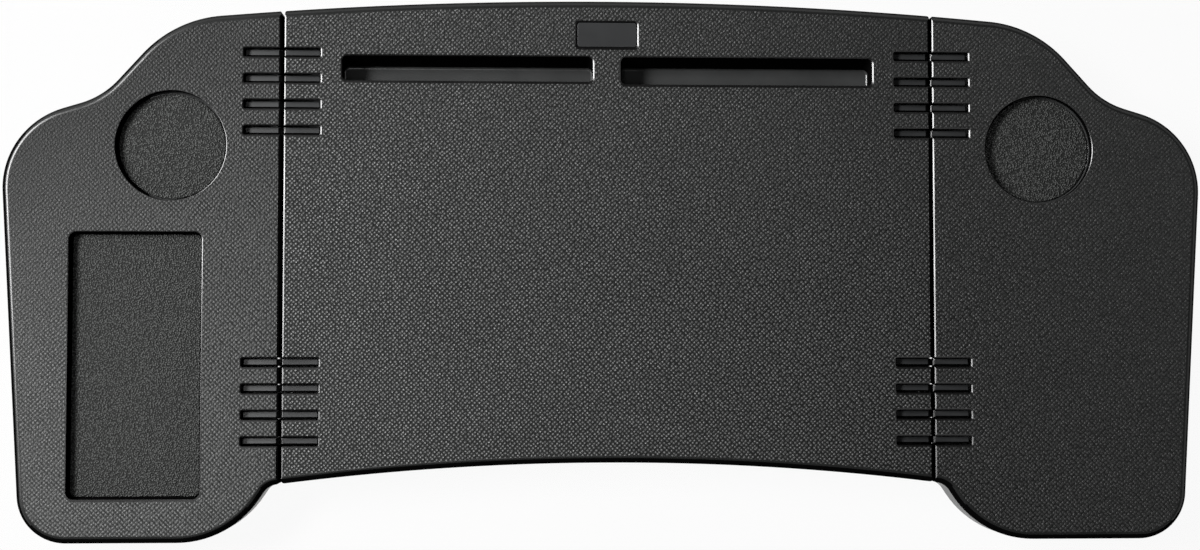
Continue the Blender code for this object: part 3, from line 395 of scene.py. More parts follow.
def shell_material(name, colour, pitch, depth, look):
    """Moulded plastic whose pebble grain and gloss change from corner to corner, with painted light and shade
    in its colour's tone.
    """
    material, tree, shader = new_material(name)
    link = tree.links.new
    place, fine, marks = surface_of(tree, grain=0.0010)
    pebbles = use_group(tree, "Pebble Grain", (-2, 4), Vector=place, Pitch=pitch, Wander=0.3,
                        Lean=look["lean"])
    apart = put(tree, "ShaderNodeSeparateXYZ", (-2, 6))
    link(place, apart.inputs[0])
    span = look["span"]
    full = between_corners(tree, (0, 7), apart, span, look["grain"])

    bump = bumped(tree, (2, 3), pebbles.outputs["Height"], depth)
    link(full, bump.inputs["Strength"])
    fine_share = 0.4
    link(bumped(tree, (1, 4), fine.outputs["Height"], depth * fine_share).outputs[0], bump.inputs["Normal"])
    link(bump.outputs[0], shader.inputs["Normal"])

    # Where the grain runs shallow, every point tends to the tone of half a pebble's height
    crown = value_of(tree, "MULTIPLY_ADD", (1, 1), pebbles.outputs["Height"], full,
                     value_of(tree, "MULTIPLY_ADD", (1, 0), full, -0.5, 0.5))
    valley_tone, crown_lift = 0.55, 2.75
    base = tinted(tree, (2, 0), [c * valley_tone for c in colour], crown_lift, crown)
    cloudy = ranged(tree, (1, 2), fine.outputs["Tone"], 0.88, 1.12, 0.25, 0.75)
    base = toned(tree, (3, 0), base, cloudy)
    # Painted light and shade: the colour is multiplied by a tone that runs from corner to corner
    base = toned(tree, (4, 0), base, between_corners(tree, (2, 9), apart, span, look["tone"]))
    link(base, shader.inputs["Base Color"])

    matt, rubbed = 0.52, 0.46
    link(ranged(tree, (2, 5), marks.outputs["Rub"], matt, rubbed), shader.inputs["Roughness"])
    shine = value_of(tree, "MULTIPLY", (3, 6), ranged(tree, (2, 6), crown, 0.1, 1.0),
                     between_corners(tree, (1, 12), apart, span, look["gloss"]))
    link(shine, shader.inputs["Specular IOR Level"])
    return material


def edge_material(name, colour, roughness, gloss):
    """Smooth plastic edge with a gloss that fades where it is seen sidelong."""
    material, tree, shader = new_material(name)
    link = tree.links.new
    _, fine, marks = surface_of(tree, grain=0.0012)
    link(tinted(tree, (0, 0), colour, 1.2, marks.outputs["Rub"]), shader.inputs["Base Color"])
    link(ranged(tree, (0, 2), fine.outputs["Tone"], roughness * 0.9, roughness * 1.1, 0.3, 0.7),
         shader.inputs["Roughness"])
    sidelong = put(tree, "ShaderNodeLayerWeight", (-2, 4), Blend=0.5)
    link(ranged(tree, (0, 4), sidelong.outputs["Facing"], gloss, 0.0, 0.1, 0.45),
         shader.inputs["Specular IOR Level"])
    shader.inputs["IOR"].default_value = 1.7
    return material


def plain_material(name, colour, grain, depth, roughness, specular=0.5, metallic=0.0):
    """Satin plastic, rubber or metal with fine grain and handling marks."""
    material, tree, shader = new_material(name)
    link = tree.links.new
    _, fine, marks = surface_of(tree, grain)
    cloudy = ranged(tree, (-1, 0), fine.outputs["Tone"], 0.0, 1.0, 0.3, 0.7)
    link(tinted(tree, (0, 0), colour, 1.35, cloudy), shader.inputs["Base Color"])
    spread = 0.06
    rub = value_of(tree, "MULTIPLY", (-1, 2), marks.outputs["Rub"], -spread)
    scuff = value_of(tree, "MULTIPLY_ADD", (0, 2), marks.outputs["Scuff"], spread, rub)
    link(value_of(tree, "ADD", (1, 2), scuff, roughness, clamp=True), shader.inputs["Roughness"])
    link(bumped(tree, (1, 4), fine.outputs["Height"], depth).outputs[0], shader.inputs["Normal"])
    shader.inputs["Specular IOR Level"].default_value = specular
    shader.inputs["Metallic"].default_value = metallic
    return material


def mat_material(name, colour, grain, depth):
    """Dull rubber whose close, uneven grains catch the light."""
    material, tree, shader = new_material(name)
    link = tree.links.new
    _, fine, marks = surface_of(tree, grain)
    gap_tone, crest_lift = 0.42, 4.2
    grains = tinted(tree, (0, 0), [c * gap_tone for c in colour], crest_lift, fine.outputs["Height"])
    link(grains, shader.inputs["Base Color"])
    dull, rubbed = 0.66, 0.56
    link(ranged(tree, (0, 2), marks.outputs["Rub"], dull, rubbed), shader.inputs["Roughness"])
    link(ranged(tree, (0, 4), fine.outputs["Height"], 0.1, 0.8), shader.inputs["Specular IOR Level"])
    link(bumped(tree, (1, 4), fine.outputs["Height"], depth).outputs[0], shader.inputs["Normal"])
    return material


def finish_once(name, make, *values, **settings):
    """The finish of that name, made the first time it is asked for."""
    return bpy.data.materials.get(name) or make(name, *values, **settings)


def edge_finishes(colours):
    """The lit edge, and the near-black plastic with no shine that paints shade beside the seams, mouths and
    ribs. Both take the near-black wall colour, so the edge is dark as painted shade wherever the lamp's
    reflection misses it.
    """
    edge = finish_once("Crisp Edge", edge_material, colours.wall, roughness=0.30, gloss=0.44)
    wall = finish_once("Smooth Wall", plain_material, colours.wall, grain=0.0009, depth=0.00002,
                       roughness=0.5, specular=0.0)
    return edge, wall


def dress_node(name, material):
    """Smooth shading and a finish for a frame node whose shape stays."""
    node = nodes[name]
    node.data.materials.clear()
    node.data.materials.append(material)
    smooth_between_edges(node)


def smooth_between_edges(node):
    for polygon in node.data.polygons:
        polygon.use_smooth = True
    weld = node.modifiers.new("Weld", "WELD")
    weld.merge_threshold = LEVEL
    split = node.modifiers.new("Crisp Edges", "EDGE_SPLIT")
    split.split_angle = math.radians(35)
    weighted = node.modifiers.new("Level Faces", "WEIGHTED_NORMAL")
    weighted.mode = "FACE_AREA_WITH_ANGLE"
    weighted.keep_sharp = True


def named(*parts):
    """Frame nodes whose names hold every part given."""
    return [name for name in sorted(nodes) if all(part in name for part in parts)]


# Shape of the tops

# How far cutters run past what they cut
CUT = 0.003
# Near enough to touch, the overlap of a rounding cutter, and near enough to merge or to be level
TOUCH, OVERLAP, MERGE, LEVEL = 1e-5, 2e-5, 2e-6, 1e-6

# The tops, in step with the frame's solids. The made tops stay inside those by the inset, and
# the left seam's gap is wider by the shift, on the centre panel's side
HALF_DEPTH = shell_high.y
BASE_Z = shell_low.z
WALL = 0.0024
INSET = 0.0001
SEAM_X = 0.202
SEAM_FACE = 0.0008
LEFT_SEAM_SHIFT = 0.0006
SEAM_CORNER = 0.0016
RIM_STEPS = 10
# A rolled rim's face is painted dark, as shade, where its normal turns this far to the user or to the left
# and points up by less than the level beside it
NEAR_TURN, NEAR_LEVEL = -0.25, 0.965
LEFT_TURN, LEFT_LEVEL = -0.4, 0.86
UPRIGHT = 0.02

# Plan outline, back to front: reaches outward from the seam, setbacks from the far edge
BACK_RADIUS = 2.7
BACK_ARC_REACH = 0.023
BACK_ARC_END = SEAM_X + BACK_ARC_REACH
SHOULDER_REACH, SHOULDER_RADIUS = 0.0668, 0.073
WAIST_REACH, WAIST_SETBACK, WAIST_RADIUS = 0.1102, 0.06135, 0.050
SIDE_BACK_REACH, SIDE_BACK_SETBACK, SIDE_BACK_RADIUS = 0.1728, 0.0805, 0.051
SIDE_FRONT_REACH, SIDE_FRONT_RADIUS = 0.1574, 0.030
LEG_REACH, LEG_RADIUS = 0.030, 0.060
NOTCH_REACH, NOTCH_RADIUS = 0.007, 0.011
FRONT_RADIUS = 1.64
FRONT_SETBACK = 0.0481
ARC_STEPS = 18
CORNER_STEPS = 8

# Sloped edges: fall over width at the desk's middle and its gain for each metre to the right
FALL_AT_MIDDLE, FALL_GAIN = 0.475, 0.75
# Shares of the seam edge's width: facing right, facing left, on the leaves and in the windows
RIGHT_FACING, LEFT_FACING, LEAF_SHARE, WINDOW_SHARE = 1.6, 0.9, 1.5, 0.9
# Shares of the mouth edge's width at the cups and the phone recess
CUP_SHARE, PHONE_SHARE = 0.4, 0.65
# Cutters flare above the top by this share, and mouths and windows are wider at their front
MOUTH_FLARE = 1.03
MOUTH_FRONT = 0.0008
WINDOW_FRONT = 0.0005

# Rib windows, in two stations of four on each side, and the ribs that stand in them
STATIONS, STATION_PITCH = 2, 0.19146
RIBS, RIB_PITCH, RIB_SETBACK = 4, 0.01612, 0.0339
WINDOW_REACH, WINDOW_HALF_WIDTH, WINDOW_CORNER = 0.02369, 0.0029, 0.0011
RIB_REACH, RIB_HALF_WIDTH = 0.026, 0.0022
RIB_TOP = TOP_Z - 0.0043
RIB_FRONT_WIDTH, RIB_FRONT_FALL = 0.0010, 0.0009
LEAF_ROUND = 0.0004

# Device slots: ends along X and width of each, then what they share
LEFT_SLOT = -0.1654, -0.0100, 0.01565
RIGHT_SLOT = 0.0071, 0.1650, 0.0171
SLOT_SETBACK, SLOT_DEPTH, SLOT_LEAN = 0.0355, 0.0175, 0.005
SLOT_CORNER, SLOT_TUB_CORNER, SLOT_FLOOR_RADIUS = 0.0034, 0.0066, 0.0012

# Badge recess and the plate in it, which lies farther from the left end of its recess
BADGE_LEFT, BADGE_RIGHT, BADGE_SETBACK, BADGE_WIDTH = -0.0206, 0.0176, 0.0135, 0.0160
BADGE_DEPTH, BADGE_CORNER, BADGE_FLOOR_RADIUS = 0.0023, 0.002, 0.0004
PLATE_GAP, PLATE_LEFT_GAP = 0.0004, 0.0006
PLATE_LOW, PLATE_HIGH = TOP_Z - 0.0020, TOP_Z - 0.0008
PLATE_ROUND = 0.0003

# Phone and cup recesses
PHONE_NEAR_REACH, PHONE_FAR_REACH = 0.0480, 0.1289
PHONE_SETBACK, PHONE_LENGTH = 0.1453, 0.1633
PHONE_DEPTH, PHONE_CORNER = 0.0075, 0.0045
CUP_REACH, CUP_SETBACK, CUP_RADIUS, CUP_DEPTH = 0.0677, 0.0920, 0.034, 0.0070
CUP_SIDES = 128
# Share of the cup's radius past which the left of its floor's fillet takes the near-black plastic, as a
# painted shadow
CUP_SHADOW = 0.4
FLOOR_RADIUS = 0.0016
FILLET_STEPS = 4

# Faces of the tops and leaves, in the order of their materials. The shaded kind takes near-black plastic
# with no shine: painted shade on walls, seams and edges where shade falls
GRAIN, RIM, EDGE, SHADED, FLOOR, SIDE = range(6)
# Ways out from a seam, onto the centre panel or onto the wing
CENTRE, WING = -1, 1


def arc_fall(x, radius):
    return radius - math.sqrt(radius ** 2 - x ** 2)


def arc_slope(x, radius):
    return x / math.sqrt(radius ** 2 - x ** 2)


def front_y(x):
    return FRONT_SETBACK - HALF_DEPTH - arc_fall(x, FRONT_RADIUS)


def filleted(before, corner, after, radius, segments):
    """Points of the arc that rounds a corner, each with its normal into a clockwise outline."""
    corner = Vector(corner)
    back = (Vector(before) - corner).normalized()
    on = (Vector(after) - corner).normalized()
    half = back.angle(on) / 2
    middle = corner + (back + on).normalized() * radius / math.sin(half)
    start = corner + back * radius / math.tan(half) - middle
    end = corner + on * radius / math.tan(half) - middle
    turn = math.atan2(start.x * end.y - start.y * end.x, start.dot(end))
    inward = -1 if turn < 0 else 1
    spokes = [Matrix.Rotation(turn * i / segments, 2) @ start for i in range(segments + 1)]
    return [(middle + spoke, spoke.normalized() * inward) for spoke in spokes]


def half_outline():
    """Points and inward normals of the desk's right half, from the back middle round to the front."""
    back_y = HALF_DEPTH - arc_fall(BACK_ARC_END, BACK_RADIUS)
    shoulder_y = back_y - arc_slope(BACK_ARC_END, BACK_RADIUS) * (SHOULDER_REACH - BACK_ARC_REACH)
    notch_y = front_y(SEAM_X) - arc_slope(SEAM_X, FRONT_RADIUS) * NOTCH_REACH
    # Each corner's reach, place along Y, radius and number of steps
    corners = [
        (SHOULDER_REACH, shoulder_y, SHOULDER_RADIUS, 18),
        (WAIST_REACH, HALF_DEPTH - WAIST_SETBACK, WAIST_RADIUS, 12),
        (SIDE_BACK_REACH, HALF_DEPTH - SIDE_BACK_SETBACK, SIDE_BACK_RADIUS, 22),
        (SIDE_FRONT_REACH, -HALF_DEPTH, SIDE_FRONT_RADIUS, 20),
        (LEG_REACH, -HALF_DEPTH, LEG_RADIUS, 14),
        (NOTCH_REACH, notch_y, NOTCH_RADIUS, 8),
    ]
    points = []
    for i in range(ARC_STEPS + 1):
        x = BACK_ARC_END * i / ARC_STEPS
        normal = Vector((-arc_slope(x, BACK_RADIUS), -1)).normalized()
        points.append((Vector((x, HALF_DEPTH - arc_fall(x, BACK_RADIUS))), normal))
    ends = [points[-1][0]] + [Vector((SEAM_X + reach, y)) for reach, y, _, _ in corners]
    ends.append(Vector((SEAM_X, front_y(SEAM_X))))
    for i, (_, _, radius, steps) in enumerate(corners):
        points += filleted(*ends[i:i + 3], radius, steps)
    for i in range(ARC_STEPS + 1):
        x = SEAM_X * (1 - i / ARC_STEPS)
        normal = Vector((arc_slope(x, FRONT_RADIUS), 1)).normalized()
        points.append((Vector((x, front_y(x))), normal))
    return points


def clipped(points, limit, side):
    """The part of a closed outline on one side of the line x = limit."""
    kept = []
    for i, (x, y) in enumerate(points):
        last_x, last_y = points[i - 1]
        inside, was_inside = side * (x - limit) >= 0, side * (last_x - limit) >= 0
        if inside != was_inside:
            share = (limit - last_x) / (x - last_x)
            kept.append((limit, last_y + share * (y - last_y)))
        if inside:
            kept.append((x, y))
    return kept


def panel_outline(side, inset=0.0):
    """The outline of the centre, side 0, or of a wing, drawn in by inset."""
    right = [point + normal * (inset + INSET) for point, normal in half_outline()]
    left = [Vector((-point.x, point.y)) for point in reversed(right[1:-1])]
    outline = [(point.x, point.y) for point in right + left]
    if side:
        return clipped(outline, side * (SEAM_X + SEAM_FACE + inset), side)
    limit = SEAM_X - SEAM_FACE - inset
    return clipped(clipped(outline, limit, -1), LEFT_SEAM_SHIFT - limit, 1)


def rectangle(box, radius, inset=0.0):
    """Outline of a box with round corners, drawn in by inset."""
    x_low, x_high, y_low, y_high = box
    points = []
    for quarter, (x, y, across, along) in enumerate((
            (x_high, y_high, -1, -1), (x_low, y_high, 1, -1), (x_low, y_low, 1, 1), (x_high, y_low, -1, 1))):
        for i in range(CORNER_STEPS + 1):
            angle = math.pi / 2 * (quarter + i / CORNER_STEPS)
            points.append((x + across * radius + (radius - inset) * math.cos(angle),
                           y + along * radius + (radius - inset) * math.sin(angle)))
    return points


def circle(x, y, radius, count):
    turns = [math.tau * i / count for i in range(count)]
    return [(x + radius * math.cos(turn), y + radius * math.sin(turn)) for turn in turns]


def loft(rings, kinds=None):
    """A closed form through like outlines, each (points, z), its bands given their face kinds."""
    bm = bmesh.new()
    loops = [[bm.verts.new((x, y, z)) for x, y in points] for points, z in rings]
    for band, (low, high) in enumerate(zip(loops, loops[1:])):
        for i in range(len(low)):
            face = bm.faces.new((low[i - 1], low[i], high[i], high[i - 1]))
            face.material_index = kinds[band] if kinds else GRAIN
    for loop in (loops[0], loops[-1]):
        bm.faces.new(loop).material_index = FLOOR if kinds else GRAIN
    bmesh.ops.recalc_face_normals(bm, faces=bm.faces)
    return bm


def prism(points, low, high):
    return loft([(points, low), (points, high)])


def bar(ends, kind):
    """A closed bar between two like loops of points, all of one face kind."""
    bm = bmesh.new()
    loops = [[bm.verts.new(point) for point in end] for end in ends]
    for loop in loops:
        bm.faces.new(loop)
    for i in range(len(loops[0])):
        bm.faces.new((loops[0][i - 1], loops[0][i], loops[1][i], loops[1][i - 1]))
    for face in bm.faces:
        face.material_index = kind
    bmesh.ops.recalc_face_normals(bm, faces=bm.faces)
    return bm


def gathered(forms):
    bm = bmesh.new()
    for form in forms:
        mesh = bpy.data.meshes.new("gathered")
        form.to_mesh(mesh)
        form.free()
        bm.from_mesh(mesh)
        bpy.data.meshes.remove(mesh)
    return bm


def add_object(name, data):
    thing = bpy.data.objects.new(name, data)
    bpy.context.scene.collection.objects.link(thing)
    return thing


def new_piece(name, bm, materials):
    mesh = bpy.data.meshes.new(name)
    bm.to_mesh(mesh)
    bm.free()
    for material in materials:
        mesh.materials.append(material)
    return add_object(name, mesh)


def carved(piece, forms):
    """Cuts closed forms out of a piece at once."""
    tool = new_piece("tool", gathered(forms), piece.data.materials)
    step = piece.modifiers.new("carve", "BOOLEAN")
    step.operation, step.object, step.solver = "DIFFERENCE", tool, "EXACT"
    graph = bpy.context.evaluated_depsgraph_get()
    mesh = bpy.data.meshes.new_from_object(piece.evaluated_get(graph))
    bm = bmesh.new()
    bm.from_mesh(mesh)
    bmesh.ops.remove_doubles(bm, verts=bm.verts, dist=MERGE)
    bm.to_mesh(mesh)
    bm.free()
    piece.modifiers.clear()
    old, piece.data = piece.data, mesh
    bpy.data.meshes.remove(old)
    bpy.data.objects.remove(tool)


def soften_edges(piece, width):
    """Small round edges on a frame node, laid on before its other finishing steps."""
    soft = piece.modifiers.new("Soft Edges", "BEVEL")
    soft.width, soft.segments, soft.limit_method = width, 2, "ANGLE"
    soft.angle_limit = math.radians(50)
    with bpy.context.temp_override(object=piece, active_object=piece):
        bpy.ops.object.modifier_move_to_index(modifier=soft.name, index=1)


def check_closed(piece, name):
    bm = bmesh.new()
    bm.from_mesh(piece.data)
    holes = sum(1 for edge in bm.edges if not edge.is_manifold)
    peak = max(vert.co.z for vert in bm.verts)
    bm.free()
    if holes or peak > TOP_Z + LEVEL:
        raise RuntimeError(name + ": a cut failed")


def settled(piece, name):
    """Names a finished piece and smooths it between its sharp edges."""
    piece.name = piece.data.name = name
    piece.data.shade_smooth()
    piece.data.set_sharp_from_angle(angle=math.radians(15))
    weighted = piece.modifiers.new("Level Faces", "WEIGHTED_NORMAL")
    weighted.keep_sharp = True
    return piece


def edge_fall(x, width):
    """How far a sloped edge drops over its width: more the farther right it lies."""
    return width * (FALL_AT_MIDDLE + FALL_GAIN * x)


def mouth(x, edge):
    """Rings of a mouth's sloped edge and its way up past the top, as (inset, z)."""
    return [(0.0, TOP_Z - edge_fall(x, edge)), (-edge, TOP_Z), (-edge * MOUTH_FLARE, TOP_Z + CUT)]


def recess_rings(x, depth, floor_radius, edge, fillet):
    """Rings of a recess from its floor to past its mouth, and the kinds of the bands between."""
    turns = [math.pi / 2 * i / FILLET_STEPS for i in range(FILLET_STEPS + 1)]
    floor = [(floor_radius * (1 - math.sin(turn)), TOP_Z - depth + floor_radius * (1 - math.cos(turn)))
             for turn in turns]
    rings = floor + mouth(x, edge)
    # The wall band, and the fillet when it is the shaded kind, take the near-black plastic: painted shade
    # inside the recess
    return rings, [fillet] * (len(floor) - 1) + [SHADED] + [EDGE] * (len(rings) - len(floor) - 1)


def recess(box, corner, depth, floor_radius, edge, lean=0.0, fillet=SHADED):
    """A rectangular recess whose back wall can lean forward towards its floor."""
    x_low, x_high, y_low, y_high = box
    levels, kinds = recess_rings(x_high, depth, floor_radius, edge, fillet)
    rings = []
    for inset, z in levels:
        share = max(0.0, (TOP_Z - edge - z) / depth)
        near = MOUTH_FRONT if inset < 0 else 0.0
        rings.append((rectangle((x_low, x_high, y_low - near, y_high - lean * share), corner, inset), z))
    return loft(rings, kinds)


def outward(side, half, distance):
    return side * (SEAM_X + half * distance)


def rib_rows():
    """The middle of every rib window along Y."""
    return [HALF_DEPTH - RIB_SETBACK - station * STATION_PITCH - RIB_PITCH * row
            for station in range(STATIONS) for row in range(RIBS)]


def rib_windows(side, half, edge):
    """Cutters of the windows that the hinge's ribs stand in, open at the seam."""
    near = outward(side, half, -2 * SEAM_FACE)
    widest = max(outward(side, half, 0.0), outward(side, half, WINDOW_REACH))
    levels = [(0.0, BASE_Z - CUT)] + mouth(widest, edge)
    forms = []
    for y in rib_rows():
        rings = []
        for inset, z in levels:
            far = outward(side, half, WINDOW_REACH - inset)
            reach, radius = WINDOW_HALF_WIDTH - inset, WINDOW_CORNER - inset
            low, high = y - reach - (WINDOW_FRONT if inset < 0 else 0.0), y + reach
            corners = [(near, low), (far, low), (far, high), (near, high)]
            arcs = filleted(*corners[:3], radius, CORNER_STEPS) + filleted(*corners[1:], radius, CORNER_STEPS)
            rings.append((corners[:1] + [(point.x, point.y) for point, _ in arcs] + corners[3:], z))
        # The window's walls take the near-black plastic: painted shade
        forms.append(loft(rings, [SHADED, EDGE, EDGE]))
    return forms


def seam_lines(side):
    """Where a panel's seams lie, each with the way its seam faces."""
    if side:
        return [(side * (SEAM_X + SEAM_FACE), -side)]
    return [(SEAM_FACE + LEFT_SEAM_SHIFT - SEAM_X, -1), (SEAM_X - SEAM_FACE, 1)]


def sloped(line, out, width, fall, top):
    """Section of a cutter that slopes an edge down and outward at a line."""
    inner, outer = line - out * 2 * width, line + out * width
    return [(inner, top + fall), (outer, top - 2 * fall), (outer, top + CUT), (inner, top + CUT)]


def seam_slope(line, out, width, top=TOP_Z):
    """Cutter of the shallow sloped edge beside a seam, wider where it faces the desk's right and there given
    the near-black plastic as painted shade.
    """
    width, kind = (width * RIGHT_FACING, SHADED) if out > 0 else (width * LEFT_FACING, EDGE)
    section = sloped(line, out, width, edge_fall(line, width), top)
    return bar([[(x, y, z) for x, z in section] for y in (-HALF_DEPTH - CUT, HALF_DEPTH + CUT)], kind)


def rib_fronts(side, half):
    """Cutters of the sloped edge at the front of every rib, given the near-black plastic as painted shade."""
    ends = outward(side, half, -SEAM_FACE), outward(side, half, RIB_REACH)
    sections = [sloped(y - RIB_HALF_WIDTH, -1, RIB_FRONT_WIDTH, RIB_FRONT_FALL, RIB_TOP) for y in rib_rows()]
    return [bar([[(x, y, z) for y, z in section] for x in ends], SHADED) for section in sections]


def seam_corners(outline, lines):
    """Cutters that round the corners where the outline meets a seam."""
    forms = []
    for i, (x, y) in enumerate(outline):
        trio = (outline[i - 1], (x, y), outline[(i + 1) % len(outline)])
        on = [any(abs(point[0] - line) < TOUCH for line, _ in lines) for point in trio]
        if on[1] and on[0] != on[2]:
            arc = filleted(*trio, SEAM_CORNER, CORNER_STEPS)
            tip = (Vector((x, y)) - (arc[0][0] + arc[-1][0]) / 2).normalized() * CUT
            ends = [point - inward * OVERLAP for point, inward in (arc[0], arc[-1])]
            points = [ends[0]] + [point for point, _ in arc[1:-1]] + [ends[1], Vector((x, y)) + tip]
            points = [(point.x, point.y) for point in points]
            forms.append(loft([(points, BASE_Z - CUT), (points, TOP_Z + CUT)], [EDGE]))
    return forms


def rim_in_painted_shade(normal):
    """Whether a rolled rim's face turns to the user or to the left enough to be painted dark as shade."""
    across, along, up = normal
    near, left = along < NEAR_TURN and up < NEAR_LEVEL, across < LEFT_TURN and up < LEFT_LEVEL
    return up > UPRIGHT and (near or left)


def panel_form(side, sizes, materials):
    """A panel's outer form: a rolled rim, and sloped edges at its seams."""
    outline = panel_outline(side)
    lines = seam_lines(side)

    def at_seam(verts):
        return any(all(abs(vert.co.x - line) < TOUCH for vert in verts) for line, _ in lines)

    bm = prism(outline, BASE_Z, TOP_Z)
    # Painted shade: the side faces at a seam take the near-black plastic, darkening the gap between the
    # panels
    for face in bm.faces:
        if abs(face.normal.z) < 0.5:
            face.material_index = SHADED if at_seam(face.verts) else SIDE
    rim = [edge for edge in bm.edges
           if all(abs(vert.co.z - TOP_Z) < TOUCH for vert in edge.verts) and not at_seam(edge.verts)]
    bmesh.ops.bevel(bm, geom=rim, offset=sizes.rim_radius, offset_type="OFFSET", segments=RIM_STEPS,
                    profile=0.5, affect="EDGES", clamp_overlap=False, material=RIM)
    # Painted shade: rim faces turned to the user or to the left take the near-black plastic
    for face in bm.faces:
        if rim_in_painted_shade(face.normal):
            face.material_index = SHADED
    panel = new_piece("panel", bm, materials)
    carved(panel, [seam_slope(line, out, sizes.edge_width) for line, out in lines])
    carved(panel, seam_corners(outline, lines))
    return panel


def slot_box(side):
    """A device slot's mouth: the left one is a little shorter and narrower."""
    x_low, x_high, width = LEFT_SLOT if side < 0 else RIGHT_SLOT
    y_high = HALF_DEPTH - SLOT_SETBACK
    return x_low, x_high, y_high - width, y_high


def badge_box():
    y_high = HALF_DEPTH - BADGE_SETBACK
    return BADGE_LEFT, BADGE_RIGHT, y_high - BADGE_WIDTH, y_high


def phone_box():
    y_high = HALF_DEPTH - PHONE_SETBACK
    return -SEAM_X - PHONE_FAR_REACH, -SEAM_X - PHONE_NEAR_REACH, y_high - PHONE_LENGTH, y_high


def cup_place(side):
    return outward(side, WING, CUP_REACH), HALF_DEPTH - CUP_SETBACK


def cup_recess(side, edge):
    x, y = cup_place(side)
    levels, kinds = recess_rings(x + CUP_RADIUS, CUP_DEPTH, FLOOR_RADIUS, edge, FLOOR)
    form = loft([(circle(x, y, CUP_RADIUS - inset, CUP_SIDES), z) for inset, z in levels], kinds)
    # Painted shadow: the fillet's faces on the cup's left take the near-black plastic
    for face in form.faces:
        if face.material_index == FLOOR and face.calc_center_median().x < x - CUP_SHADOW * CUP_RADIUS:
            face.material_index = SHADED
    return form


def tub(points, depth):
    """The plastic round a recess of that depth, below the top's sheet."""
    return prism(points, TOP_Z - depth - WALL, TOP_Z - WALL / 2)


def box_tub(box, corner, depth):
    x_low, x_high, y_low, y_high = box
    return tub(rectangle((x_low - WALL, x_high + WALL, y_low - WALL, y_high + WALL), corner), depth)


def build_top(name, side, materials, sizes):
    """A moulded top: panel, hollow underneath, recesses, slots and rib windows."""
    edge, window_edge = sizes.mouth_edge, sizes.edge_width * WINDOW_SHARE
    top = panel_form(side, sizes, materials)
    hollow = new_piece("hollow", prism(panel_outline(side, WALL), BASE_Z - CUT, TOP_Z - WALL), materials)
    for polygon in hollow.data.polygons:
        polygon.material_index = SHADED
    tubs, cuts = [], []
    if side:
        tubs.append(tub(circle(*cup_place(side), CUP_RADIUS + WALL, CUP_SIDES // 2), CUP_DEPTH))
        cuts.append(cup_recess(side, edge * CUP_SHARE))
        cuts += rib_windows(side, WING, window_edge)
    else:
        for end in (-1, 1):
            slot = slot_box(end)
            tubs.append(box_tub(slot, SLOT_TUB_CORNER, SLOT_DEPTH))
            cuts.append(recess(slot, SLOT_CORNER, SLOT_DEPTH, SLOT_FLOOR_RADIUS, edge, SLOT_LEAN, FLOOR))
            cuts += rib_windows(end, CENTRE, window_edge)
        tubs.append(box_tub(badge_box(), BADGE_CORNER + WALL, BADGE_DEPTH))
        cuts.append(recess(badge_box(), BADGE_CORNER, BADGE_DEPTH, BADGE_FLOOR_RADIUS, edge))
    if side < 0:
        tubs.append(box_tub(phone_box(), PHONE_CORNER + WALL, PHONE_DEPTH))
        cuts.append(recess(phone_box(), PHONE_CORNER, PHONE_DEPTH, FLOOR_RADIUS, edge * PHONE_SHARE))
    carved(hollow, tubs)
    hollow_form = bmesh.new()
    hollow_form.from_mesh(hollow.data)
    bpy.data.objects.remove(hollow)
    carved(top, [hollow_form])
    carved(top, cuts)
    check_closed(top, name)
    return settled(top, name)


def build_leaf(name, materials, sizes):
    """A hinge leaf from the frame, its rib ends sloped at the seam."""
    side = -1 if "_left_" in name else 1
    half = CENTRE if "_inner_" in name else WING
    mesh = nodes[name].data.copy()
    mesh.materials.clear()
    for material in materials:
        mesh.materials.append(material)
    leaf = add_object(name + "_made", mesh)
    slope = seam_slope(outward(side, half, SEAM_FACE), -side * half, sizes.edge_width * LEAF_SHARE, RIB_TOP)
    carved(leaf, [slope])
    carved(leaf, rib_fronts(side, half))
    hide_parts(name)
    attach(leaf, "centre" if half == CENTRE else ("left_wing" if side < 0 else "right_wing"))
    smooth_between_edges(leaf)
    soften_edges(leaf, LEAF_ROUND)


# Operators

class DESK_OT_shells(bpy.types.Operator):
    """Make the three moulded tops with their pebble grain"""
    bl_idname = "desk.shells"
    bl_label = "Tops"

    def execute(self, context):
        sizes, colours = context.scene.desk_sizes, context.scene.desk_colours
        depths = {0: sizes.centre_grain, -1: sizes.left_grain, 1: sizes.right_grain}
        # Painted shade: the smooth rim takes the tops' plastic darkened, for the dark band along the rolled
        # rim
        rim_shade = 0.8
        rim = edge_material("Smooth Rim", [c * rim_shade for c in colours.shell], roughness=0.28, gloss=0.36)
        flat = plain_material("Side Satin", colours.shell, grain=0.0009, depth=0.00002, roughness=0.45)
        edge, wall = edge_finishes(colours)
        floor = plain_material("Recess Floor", colours.floor, grain=0.0016, depth=0.00001,
                               roughness=0.24, specular=0.6)
        for side, word in ((0, "Centre"), (-1, "Left Wing"), (1, "Right Wing")):
            grain = shell_material(word + " Grain", colours.shell, sizes.grain_pitch, depths[side],
                                   LOOKS[side])
            node = word.lower().replace(" ", "_") + "_top"
            body = node.removesuffix("_top")
            top = build_top(body + "_shell", side, (grain, rim, edge, wall, floor, flat), sizes)
            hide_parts(node)
            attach(top, body)
        return {"FINISHED"}


class DESK_OT_covers(bpy.types.Operator):
    """Finish the bottom covers"""
    bl_idname = "desk.covers"
    bl_label = "Bottom covers"

    def execute(self, context):
        cover = plain_material("Cover", context.scene.desk_colours.cover,
                               grain=0.0009, depth=0.00005, roughness=0.50)
        for name in named("_base"):
            dress_node(name, cover)
        return {"FINISHED"}


class DESK_OT_mats(bpy.types.Operator):
    """Finish the cup and phone mats"""
    bl_idname = "desk.mats"
    bl_label = "Mats"

    def execute(self, context):
        mat = mat_material("Mat Rubber", context.scene.desk_colours.mat,
                           context.scene.desk_sizes.mat_grain_pitch, depth=0.0008)
        for name in named("_mat"):
            dress_node(name, mat)
        return {"FINISHED"}


